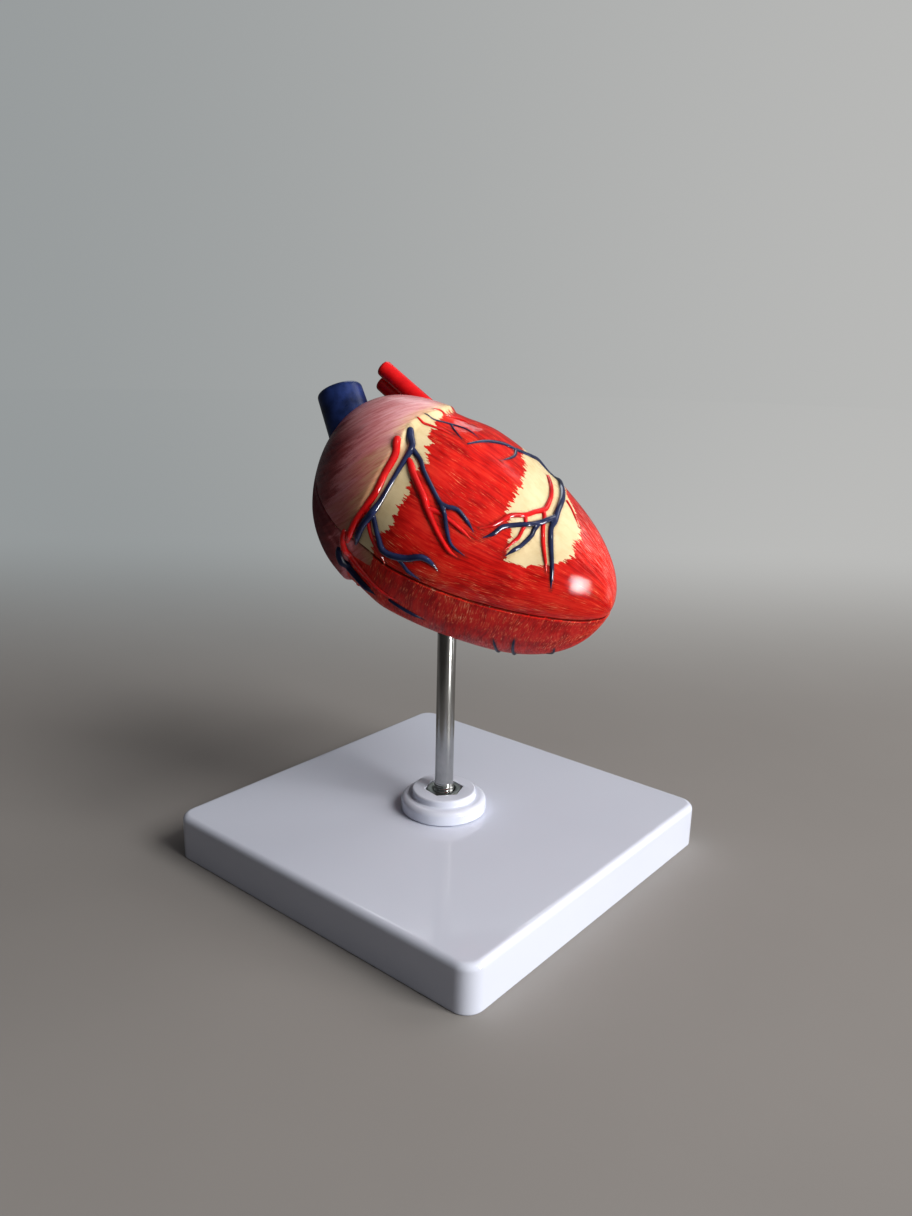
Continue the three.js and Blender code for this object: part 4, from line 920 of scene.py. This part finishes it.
class Field:
    """A value in a node tree. What is done with it adds the nodes that work it out."""

    def __init__(self, tree, socket):
        self.tree = tree
        self.socket = socket

    def maths(self, operation, other):
        return add(self.tree, "Math", {0: self, 1: other}, operation=operation)

    def __add__(self, other):
        return self.maths("ADD", other)

    def __sub__(self, other):
        return self.maths("SUBTRACT", other)

    def __mul__(self, other):
        return self.maths("MULTIPLY", other)

    def around(self, width):
        """Noise moved to lie around zero, with that width."""
        return (self - 0.5) * width

    def ranged(self, start, end, low=0.0, high=1.0, kind="SMOOTHSTEP"):
        inputs = {"Value": self, "From Min": start, "From Max": end, "To Min": low, "To Max": high}
        return add(self.tree, "MapRange", inputs, interpolation_type=kind)

    def stretched(self, x=1.0, y=1.0, z=1.0):
        return add(self.tree, "VectorMath", {0: self, 1: (x, y, z)}, operation="MULTIPLY")

    def moved(self, other):
        return add(self.tree, "VectorMath", {0: self, 1: other}, operation="ADD")

    def dot(self, other):
        return add(self.tree, "VectorMath", {0: self, 1: other}, "Value", operation="DOT_PRODUCT")

    def noise(self, scale, detail=3.0, roughness=0.55, distortion=0.0):
        inputs = {"Vector": self, "Scale": scale, "Detail": detail, "Roughness": roughness,
                  "Distortion": distortion}
        return add(self.tree, "TexNoise", inputs)

    def ramp(self, *stops):
        made = add(self.tree, "ValToRGB", {0: self})
        elements = made.socket.node.color_ramp.elements
        while len(elements) < len(stops):
            elements.new(0.5)
        for element, (position, colour) in zip(elements, stops):
            element.position = position
            element.color = colour
        return made

    def mix(self, first, second):
        """From the first colour to the second by this share."""
        return add(self.tree, "Mix", {0: self, 6: first, 7: second}, 2, data_type="RGBA")

    def tinted(self, red, green, blue):
        """This colour times a tint."""
        tint = add(self.tree, "CombineColor", {0: red, 1: green, 2: blue})
        return add(self.tree, "Mix", {0: 1.0, 6: self, 7: tint}, 2, data_type="RGBA", blend_type="MULTIPLY")

    def bump(self, distance, strength=1.0):
        return add(self.tree, "Bump", {"Height": self, "Distance": distance, "Strength": strength})


def plug(tree, socket, value):
    """Links a field to a socket, or sets the socket to a plain value."""
    if isinstance(value, Field):
        tree.links.new(value.socket, socket)
    else:
        socket.default_value = value


def add(tree, kind, inputs=None, output=0, **settings):
    """Adds a shader node and gives one of its outputs as a field."""
    made = tree.nodes.new("ShaderNode" + kind)
    for key, value in settings.items():
        setattr(made, key, value)
    for key, value in (inputs or {}).items():
        plug(tree, made.inputs[key], value)
    return Field(tree, made.outputs[output])


def attribute(tree, name, output="Fac"):
    return add(tree, "Attribute", output=output, attribute_name=name)


def own_place(tree):
    return add(tree, "TexCoord", output="Object")


def ray_kind(tree, name):
    return add(tree, "LightPath", output=name)


def new_material(name):
    made = bpy.data.materials.new(name)
    made.use_nodes = True
    return made, made.node_tree


def feed(tree, **sockets):
    """Sets or links the shader's inputs, given by their names with underscores."""
    shader = tree.nodes["Principled BSDF"]
    for key, value in sockets.items():
        plug(tree, shader.inputs[key.replace("_", " ")], value)
    return Field(tree, shader.outputs[0])


DARK_RED = (0.16, 0.003, 0.003, 1)
DEEP_RED = (0.36, 0.005, 0.005, 1)
MID_RED = (0.64, 0.011, 0.008, 1)
VERMILION = (0.80, 0.034, 0.018, 1)
ORANGE_FLECK = (0.85, 0.15, 0.06, 1)
CREAM_FLECK = (0.90, 0.55, 0.33, 1)
# Pale strokes by the apex, partly pale paint and partly painted sheen
WORN_AND_SHEEN_RED = (0.86, 0.33, 0.28, 1)
CREAM = (0.81, 0.65, 0.38, 1)
OLD_CREAM = (0.74, 0.57, 0.31, 1)
PEACH = (0.80, 0.50, 0.38, 1)
PALE_PINK = (0.84, 0.47, 0.49, 1)
ROSE = (0.66, 0.27, 0.29, 1)
DULL_ROSE = (0.36, 0.080, 0.085, 1)
DARK_MAUVE = (0.17, 0.036, 0.048, 1)
TAN = (0.50, 0.33, 0.17, 1)
OLIVE_TAN = (0.54, 0.29, 0.18, 1)
WARM_ROSE = (0.60, 0.23, 0.20, 1)
# Painted shade of the gap along the seam
SEAM_SHADE = (0.06, 0.008, 0.006, 1)
# Painted shade in the creases beside the raised vessels
CREASE_SHADE = (0.12, 0.015, 0.010, 1)

# How the brush strokes are drawn out on each half, from broad to fine, along the heart and round it
FRONT_STROKES = ((0.05, 0.36), (2.2, 3.0), (4.4, 7.5))
BACK_STROKES = ((0.36, 0.06), (3.0, 2.2), (7.5, 4.6))
STROKE_SWAY = 1.4
BRUSH_RELIEF = 0.055 * MM

# Enamels: dark and light tone, tone at the tips, roughness and specular level
ENAMELS = {
    "artery_enamel": ((0.58, 0.003, 0.005, 1), (0.80, 0.008, 0.008, 1), VERMILION, 0.12, 0.4),
    "vein_enamel": ((0.005, 0.008, 0.038, 1), (0.013, 0.022, 0.082, 1), (0.03, 0.02, 0.07, 1), 0.10, 0.5),
    "lower_vein_enamel": ((0.004, 0.006, 0.028, 1), (0.010, 0.017, 0.062, 1), (0.006, 0.006, 0.022, 1),
                          0.35, 0.1),
    "great_artery_enamel": ((0.62, 0.003, 0.006, 1), (0.76, 0.006, 0.008, 1), VERMILION, 0.24, 0.3),
    "great_vein_enamel": ((0.003, 0.009, 0.045, 1), (0.015, 0.031, 0.135, 1), (0.02, 0.03, 0.11, 1),
                          0.30, 0.2),
}


def red_paint(place, angle, seam, front):
    """Brushed red with darker and lighter strokes and dry flecks, and pale strokes by the apex that are partly
    painted sheen. Also its two finer strokes' heights.
    """
    broad_stretch, brush_stretch, fine_stretch = FRONT_STROKES if front else BACK_STROKES
    sway = place.noise(0.05, 1.0).around(STROKE_SWAY)
    bend = add(place.tree, "CombineXYZ", {1 if front else 0: sway})
    strokes = place.stretched(*broad_stretch).moved(bend)
    brush = strokes.stretched(*brush_stretch).noise(1.0, 3.0, 0.6)
    fine = strokes.stretched(*fine_stretch).noise(1.0, 2.0, 0.6)
    tone = strokes.noise(1.0, 2.0) * 0.34 + brush * 0.33 + place.noise(0.07, 2.0) * 0.33
    shift = 0.0 if front else 0.015
    red = tone.ramp((0.39 + shift, DEEP_RED), (0.50 + shift, MID_RED), (0.63 + shift, VERMILION))
    dark = fine.ranged(0.45, 0.34) * tone.ranged(0.54, 0.42) * 0.4
    red = dark.mix(red, DARK_RED)
    cluster = place.stretched(0.8, 1.2).noise(0.075, 3.0, 0.6, 0.8)
    fleck = fine + cluster.around(0.6) + seam.ranged(15, 5, 0.0 if front else 0.05, 0.09)
    red = fleck.ranged(0.61, 0.78, 0.0, 0.8).mix(red, ORANGE_FLECK)
    red = fleck.ranged(0.74, 0.90).mix(red, CREAM_FLECK)
    # Pale dry-brushed strokes by the apex's right side: partly pale paint, partly painted sheen where that side
    # catches the light
    station = add(place.tree, "SeparateXYZ", {0: place}, "X")
    worn_and_sheen = station.ranged(18, 42) * angle.ranged(128, 92)
    pale = (brush * 0.35 + fine * 0.65).ranged(0.50, 0.60, 0.0, 0.7) * worn_and_sheen
    return pale.mix(red, WORN_AND_SHEEN_RED), brush, fine


def atrium_paint(place, angle, atrium):
    """Cream at the groove, then pink and mauve brushed round the atria, darker towards the near side and the
    far end, which is partly painted shade.
    """
    sheared = add(place.tree, "CombineXYZ", {0: place.dot((1, 0.5, 0)), 1: place.dot((0, 1, 0))})
    sweep = sheared.stretched(0.30, 0.040).noise(1.0, 4.0, 0.6, 0.4)
    streak = sheared.stretched(1.1, 0.10).noise(1.0, 3.0, 0.65)
    speckle = place.noise(1.9, 3.0, 0.75)
    depth = atrium + sweep.around(30.0) * atrium.ranged(2, 12, 0.25, 1.0) + speckle.around(9.0)
    depth = (depth + angle.ranged(183, 198, 0.0, 12.0)).ranged(0, 30, kind="LINEAR")
    # The dark last stops and the darker flank on the near side are partly the paint's mauve and partly painted
    # shade where the atria turn from the light
    top = depth.ramp((0.0, CREAM), (0.06, PEACH), (0.15, PALE_PINK), (0.42, ROSE), (0.62, PALE_PINK),
                     (0.80, ROSE), (0.92, DULL_ROSE), (1.0, DARK_MAUVE))
    flank = depth.ramp((0.0, TAN), (0.10, OLIVE_TAN), (0.22, WARM_ROSE), (0.42, ROSE), (0.58, DULL_ROSE),
                       (0.85, DARK_MAUVE))
    rosy = streak.ranged(0.32, 0.68, 0.66, 1.0, "LINEAR")
    dim = streak.ranged(0.30, 0.55, 0.78, 1.0, "LINEAR")
    return angle.ranged(98, 140).mix(top, flank).tinted(1.0, rosy, rosy).tinted(dim, dim, dim)


def painted_muscle(name, front):
    """Hand-painted red muscle with brush streaks, cream fat with ragged edges and mauve atria, and painted
    shade in the creases and along the seam.
    """
    made, tree = new_material(name)
    place = attribute(tree, "place", "Vector")
    angle, seam, into_atrium = (attribute(tree, key) for key in ("angle", "seam", "atrium"))
    red, brush, fine = red_paint(place, angle, seam, front)
    teeth = place.stretched(0.15, 0.70).noise(1.0, 4.0, 0.65)
    fat_mask = (attribute(tree, "fat") + teeth.around(10.0)).ranged(-0.12, 0.12)
    fat = place.noise(0.16, 4.0, 0.6).ramp((0.32, OLD_CREAM), (0.55, CREAM))
    atrium = into_atrium.ranged(-0.4, 0.4)
    colour = atrium.mix(fat_mask.mix(red, fat), atrium_paint(place, angle, into_atrium))
    # Painted shade in the creases beside the raised vessels, broken by the strokes and weaker on the fat
    crease_shade_mask = attribute(tree, "crease") * brush.ranged(0.35, 0.6, 0.7, 0.35)
    crease_shade_mask = crease_shade_mask * fat_mask.ranged(0, 1, 1.0, 0.6, "LINEAR")
    colour = crease_shade_mask.mix(colour, CREASE_SHADE)
    chips = place.stretched(0.35, 1.0).noise(1.0, 4.0, 0.7)
    gloss = fine.ranged(0.40, 0.54, 0.22, 0.03)
    if not front:
        colour = (chips.ranged(0.61, 0.65) * seam.ranged(1.2, 0.7)).mix(colour, CREAM_FLECK)
        gloss = gloss + seam.ranged(1.0, 3.0, 0.0, 0.3)
    # A ragged dark line along the seam: painted shade of the gap between the halves, fainter over the atria
    seam_width = chips.ranged(0.3, 0.7, 0.1, 0.5 if front else 0.35, "LINEAR")
    seam_shade_mask = seam.maths("LESS_THAN", seam_width) * atrium.ranged(0, 1, 0.8, 0.5, "LINEAR")
    smoothness = (fat_mask * 0.8).maths("MAXIMUM", atrium)
    relief = (brush * 0.7 + fine * 0.3) * smoothness.ranged(0, 1, 1.0, 0.12, "LINEAR")
    feed(tree, Base_Color=seam_shade_mask.mix(colour, SEAM_SHADE), Roughness=gloss + smoothness * 0.2,
         Specular_IOR_Level=fine.ranged(0.45, 0.50, 0.02, 0.21) if front else 0.06,
         Normal=relief.bump(BRUSH_RELIEF))
    return made


def vessel_paint(name, low, high, tip, roughness, level):
    """Glossy enamel with a slow change of tone, and thinner paint at the tips."""
    made, tree = new_material(name)
    spot = own_place(tree)
    tone = spot.noise(180.0).ramp((0.35, low), (0.65, high))
    wear = spot.noise(900.0, 2.0)
    feed(tree, Base_Color=attribute(tree, "tip").ranged(0.3, 1.0, 0.0, 0.55).mix(tone, tip),
         Roughness=wear * 0.12 + (roughness - 0.06), Specular_IOR_Level=level,
         Normal=wear.bump(0.02 * MM, 0.6))
    return made


def white_plastic():
    """Glossy white moulding, faintly lavender, with fine handling marks."""
    made, tree = new_material("white_plastic")
    spot = own_place(tree)
    colour = spot.noise(14.0, 2.0).ramp((0.3, (0.665, 0.695, 0.805, 1)), (0.7, (0.695, 0.725, 0.835, 1)))
    marks = spot.stretched(y=9.0).noise(60.0, 5.0, 0.7)
    feed(tree, Base_Color=colour, Roughness=marks.ranged(0.35, 0.75, 0.07, 0.14, "LINEAR"),
         Normal=spot.noise(40.0, 1.0).bump(0.02 * MM, 0.5))
    return made


def plated_metal(name, low, high, roughness, grain_scale):
    """Bright plated metal with fine turning lines."""
    made, tree = new_material(name)
    spot = own_place(tree)
    lines = spot.stretched(z=grain_scale).noise(300.0, 3.0, 0.6)
    colour = spot.noise(90.0, 4.0, 0.6).ramp((0.3, low), (0.62, high))
    rough = lines.ranged(0.3, 0.7, roughness * 0.7, roughness * 1.5, "LINEAR")
    feed(tree, Base_Color=colour, Metallic=1.0, Roughness=rough, Normal=lines.bump(0.02 * MM, 0.4))
    return made


def ivory_plastic():
    made, tree = new_material("ivory_plastic")
    cloud = own_place(tree).noise(220.0)
    colour = cloud.ramp((0.3, (0.62, 0.50, 0.31, 1)), (0.7, (0.78, 0.69, 0.50, 1)))
    feed(tree, Base_Color=colour, Roughness=cloud.ranged(0, 1, 0.3, 0.5, "LINEAR"),
         Normal=cloud.bump(0.06 * MM, 0.6))
    return made


def section_paint():
    """Painted cut muscle: streaked flesh, paler along the cut face."""
    made, tree = new_material("section_face")
    spot = own_place(tree)
    streak = spot.stretched(0.4, 1.6).noise(420.0, 4.0, 0.6)
    cloud = spot.noise(90.0)
    flesh = streak.ramp((0.3, (0.30, 0.03, 0.025, 1)), (0.5, (0.52, 0.10, 0.075, 1)),
                        (0.7, (0.72, 0.25, 0.18, 1)))
    colour = cloud.ranged(0.45, 0.65, 0.0, 0.5).mix(flesh, (0.66, 0.30, 0.22, 1))
    feed(tree, Base_Color=colour, Roughness=cloud.ranged(0, 1, 0.3, 0.5, "LINEAR"), Coat_Weight=0.2,
         Normal=streak.bump(0.2 * MM, 0.7))
    return made


# Pieces

def dress(made, material, body, slot, *nodes):
    """Gives a piece its material, the body it rides on and the nodes it stands for."""
    made.data.materials.clear()
    made.data.materials.append(material)
    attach(made, body)
    if nodes:
        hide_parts(*nodes)


def dress_vessel(made, name, body, artery, vein):
    """Red or blue enamel on a vessel."""
    if name in VEINS:
        dress(made, vein, body, "vein_blue", name)
    else:
        dress(made, artery, body, "artery_red", name)


def repaint(material, *nodes):
    """A better material on nodes that stay as they are."""
    for node in nodes:
        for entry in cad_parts[node].material_slots:
            entry.material = material


def build_heart():
    front = shell_half("front_heart_half", True)
    mark_shell(front, True)
    dress(front, painted_muscle("painted_muscle_front", True), "heart_front", "painted_muscle", "front_shell")
    back = shell_half("back_heart_half", False)
    carve(back, cylinder("bore", SOCKET_BORE, 0, PIVOT_CAP_TOP))
    shade(back, SHELL_SHARP)
    mark_shell(back, False)
    dress(back, painted_muscle("painted_muscle_back", False), "heart_back", "painted_muscle", "back_shell")

    enamel = {name: vessel_paint(name, *tones) for name, tones in ENAMELS.items()}
    for body, strands, vein in (
        ("heart_front", FRONT_STRANDS, "vein_enamel"),
        ("heart_back", BACK_STRANDS, "lower_vein_enamel"),
    ):
        for name, branches in strands.items():
            made = strand_tree(name + "_relief", branches, body == "heart_front")
            dress_vessel(made, name, body, enamel["artery_enamel"], enamel[vein])
    for name, (body, *shape) in GREAT_VESSELS.items():
        made = great_vessel(name + "_stub", *shape)
        dress_vessel(made, name, body, enamel["great_artery_enamel"], enamel["great_vein_enamel"])

    repaint(section_paint(), "back_section", "front_section", "left_papillary_muscle",
            "right_papillary_muscle")
    repaint(ivory_plastic(), "rod_socket", "middle_peg", "atrium_peg", "mitral_valve", "tricuspid_valve")
    repaint(plated_metal("magnet_plating", (0.30, 0.30, 0.33, 1), (0.45, 0.45, 0.48, 1), 0.3, 1.0),
            "back_apex_magnet", "back_atrium_magnet", "front_apex_magnet", "front_atrium_magnet")


def build_stand():
    white = white_plastic()
    dress(base_plate(), white, "stand", "white_plastic", "base_plate")
    dress(rod_collar(), white, "stand", "white_plastic", "rod_collar")
    steel = plated_metal("zinc_plating", (0.09, 0.10, 0.095, 1), (0.24, 0.26, 0.25, 1), 0.38, 1.0)
    dress(hexagon_nut("upper_hexagon_nut", UPPER_NUT_LOW), steel, "stand", "fastener_steel", "upper_nut")
    dress(hexagon_nut("lower_hexagon_nut", LOWER_NUT_LOW), steel, "stand", "fastener_steel", "lower_nut")
    dress(flat_washer(), steel, "stand", "fastener_steel", "lower_washer")
    bright = plated_metal("bright_steel", (0.31, 0.315, 0.31, 1), (0.42, 0.425, 0.42, 1), 0.15, 0.15)
    dress(threaded_rod(), bright, "stand", "bright_rod", "support_rod")
    dress(pivot_cap(), steel, "pivot", "fastener_steel", "pivot_cap")


# Camera, floor and light

AHEAD = Vector((-math.sin(CAMERA_AZIMUTH), math.cos(CAMERA_AZIMUTH), 0))
LEVEL = Vector((math.cos(CAMERA_AZIMUTH), math.sin(CAMERA_AZIMUTH), 0))
BACKDROP_LEFT = (0.30, 0.32, 0.325, 1)
BACKDROP_RIGHT = (0.50, 0.50, 0.49, 1)
FLOOR = (0.315, 0.295, 0.28, 1)
FLOOR_DULL = (0.3024, 0.2832, 0.2688, 1)
FLOOR_BOUNCE = (0.13, 0.12, 0.115, 1)
FLOOR_SHADED = (0.03, 0.028, 0.026, 1)
FLOOR_RADII = (0.3, 0.8, 1.6, 3.0)
FLOOR_SIDES = 96
SHADED_SIDE = (-0.1, -0.995, 0)
DARK_SIDE = (0.015, 0.015, 0.017, 1)
BRIGHT_SIDE = (0.22, 0.22, 0.23, 1)
DAYLIGHT = (1.0, 0.99, 0.97)
WINDOW_TARGET = Vector((0, 0, 100)) * MM
WINDOW_SIDE = (0.85, 0.2, 0.45)


def build_camera():
    back = Vector((math.sin(CAMERA_AZIMUTH) * math.cos(CAMERA_ELEVATION),
                   -math.cos(CAMERA_AZIMUTH) * math.cos(CAMERA_ELEVATION),
                   math.sin(CAMERA_ELEVATION)))
    upright = back.cross(LEVEL)
    right = LEVEL * math.cos(CAMERA_ROLL) + upright * math.sin(CAMERA_ROLL)
    up = upright * math.cos(CAMERA_ROLL) - LEVEL * math.sin(CAMERA_ROLL)
    place = back * CAMERA_DISTANCE + right * CAMERA_RIGHT + up * CAMERA_UP
    lens = bpy.data.cameras.new("camera")
    lens.sensor_fit = "VERTICAL"
    lens.sensor_height = SENSOR
    lens.sensor_width = SENSOR * IMAGE_WIDTH / IMAGE_HEIGHT
    lens.lens = FOCAL_PIXELS / IMAGE_HEIGHT * SENSOR
    lens.clip_start = 0.01
    camera = bpy.data.objects.new("camera", lens)
    bpy.context.scene.collection.objects.link(camera)
    camera.matrix_world = Matrix.Translation(place) @ Matrix((right, up, back)).transposed().to_4x4()
    bpy.context.scene.camera = camera


def area_light(name, azimuth, elevation, distance, size, power, colour=DAYLIGHT, diffuse=True, glossy=True):
    """A soft lamp aimed at the heart, from an azimuth round from +X and an elevation, in degrees."""
    turn = math.radians(azimuth)
    rise = math.radians(elevation)
    away = Vector((math.cos(turn) * math.cos(rise), math.sin(turn) * math.cos(rise), math.sin(rise)))
    data = bpy.data.lights.new(name, "AREA")
    data.shape = "RECTANGLE"
    data.size, data.size_y = size
    data.energy = power
    data.color = colour
    light = bpy.data.objects.new(name, data)
    bpy.context.scene.collection.objects.link(light)
    light.visible_camera = False
    light.visible_diffuse = diffuse
    light.visible_glossy = glossy
    light.location = WINDOW_TARGET + away * distance
    light.rotation_euler = away.to_track_quat("Z", "Y").to_euler()


def room_colour(tree, direction):
    """The backdrop, lighter to the right. Gloss sees it darker away from the window."""
    backdrop = direction.dot(LEVEL).ranged(-0.6, 0.6).mix(BACKDROP_LEFT, BACKDROP_RIGHT)
    seen = ray_kind(tree, "Is Camera Ray").maths("MAXIMUM", ray_kind(tree, "Is Transmission Ray"))
    level = seen.maths("MAXIMUM", direction.dot(WINDOW_SIDE).ranged(-0.3, 0.95, 0.25, 1.0))
    return backdrop.tinted(level, level, level)


def floor_paint():
    """Plain grey that fades into the backdrop far away, and is darker on the side away from the light."""
    made, tree = new_material("floor_paint")
    spot = own_place(tree)
    glossy_ray = ray_kind(tree, "Is Glossy Ray")
    aside = spot.dot(SHADED_SIDE)
    in_gloss = aside.ranged(0.10, 0.20, 0.0, 0.9) * glossy_ray
    shaded = aside.ranged(0.15, 0.6, 0.0, 0.35).maths("MAXIMUM", in_gloss)
    colour = shaded.mix(spot.noise(9.0).ramp((0.3, FLOOR_DULL), (0.7, FLOOR)), FLOOR_SHADED)
    colour = ray_kind(tree, "Is Diffuse Ray").mix(colour, FLOOR_BOUNCE)
    near = feed(tree, Base_Color=colour, Roughness=0.6, Specular_IOR_Level=0.0)
    reach = add(tree, "VectorMath", {0: spot}, "Value", operation="LENGTH")
    far = reach.ranged(0.5, 1.5).maths("MAXIMUM", spot.dot(AHEAD).ranged(0.1, 0.6))
    seen = ray_kind(tree, "Is Camera Ray").maths("MAXIMUM", glossy_ray)
    direction = add(tree, "VectorMath", {0: spot}, operation="NORMALIZE")
    glow = add(tree, "Emission", {"Color": room_colour(tree, direction), "Strength": 1.0})
    blended = add(tree, "MixShader", {0: far * seen, 1: near, 2: glow})
    plug(tree, tree.nodes["Material Output"].inputs["Surface"], blended)
    return made


def build_floor():
    """A wide round floor."""
    points = [(0, 0, 0)]
    for radius in FLOOR_RADII:
        points += circle(radius, 0, FLOOR_SIDES)
    faces = [(0, 1 + side, 1 + (side + 1) % FLOOR_SIDES) for side in range(FLOOR_SIDES)]
    faces += [tuple(1 + corner for corner in face) for face in ring_faces(len(FLOOR_RADII), FLOOR_SIDES)]
    floor = new_object("floor", points, faces)
    floor.data.materials.append(floor_paint())


def build_light():
    """Window light from the +X side, high and low, with a darker room on the other side."""
    world = bpy.data.worlds.new("studio")
    bpy.context.scene.world = world
    world.use_nodes = True
    tree = world.node_tree
    direction = add(tree, "TexCoord", output="Generated")
    lit = direction.dot(WINDOW_SIDE).ranged(-0.3, 0.9).mix(DARK_SIDE, BRIGHT_SIDE)
    colour = ray_kind(tree, "Is Diffuse Ray").mix(room_colour(tree, direction), lit)
    shader = tree.nodes["Background"]
    plug(tree, shader.inputs["Color"], colour)
    plug(tree, shader.inputs["Strength"], 1.0)
    # Azimuth, elevation, distance, size and power of each lamp
    area_light("high_window", 6, 38, 1.8, (0.9, 0.8), 23.0, glossy=False)
    area_light("low_window", 10, 6, 1.8, (1.0, 0.35), 23.0, glossy=False)
    area_light("side_window", 56, 38, 1.8, (0.9, 0.8), 5.5)
    area_light("low_glint", -1.5, -14.5, 0.28, (0.046, 0.11), 1.5, diffuse=False)
    area_light("high_glint", -1, 38, 0.9, (0.13, 0.08), 0.8, diffuse=False)
    area_light("rod_glint", 38, -13, 0.27, (0.07, 0.07), 0.042, diffuse=False)
    area_light("rear_panel", 126, 43, 0.9, (0.4, 0.3), 1.1, (0.94, 0.97, 1.0), diffuse=False)


build_camera()
build_floor()
build_light()
build_stand()
build_heart()

bpy.context.scene.view_settings.view_transform = "Standard"
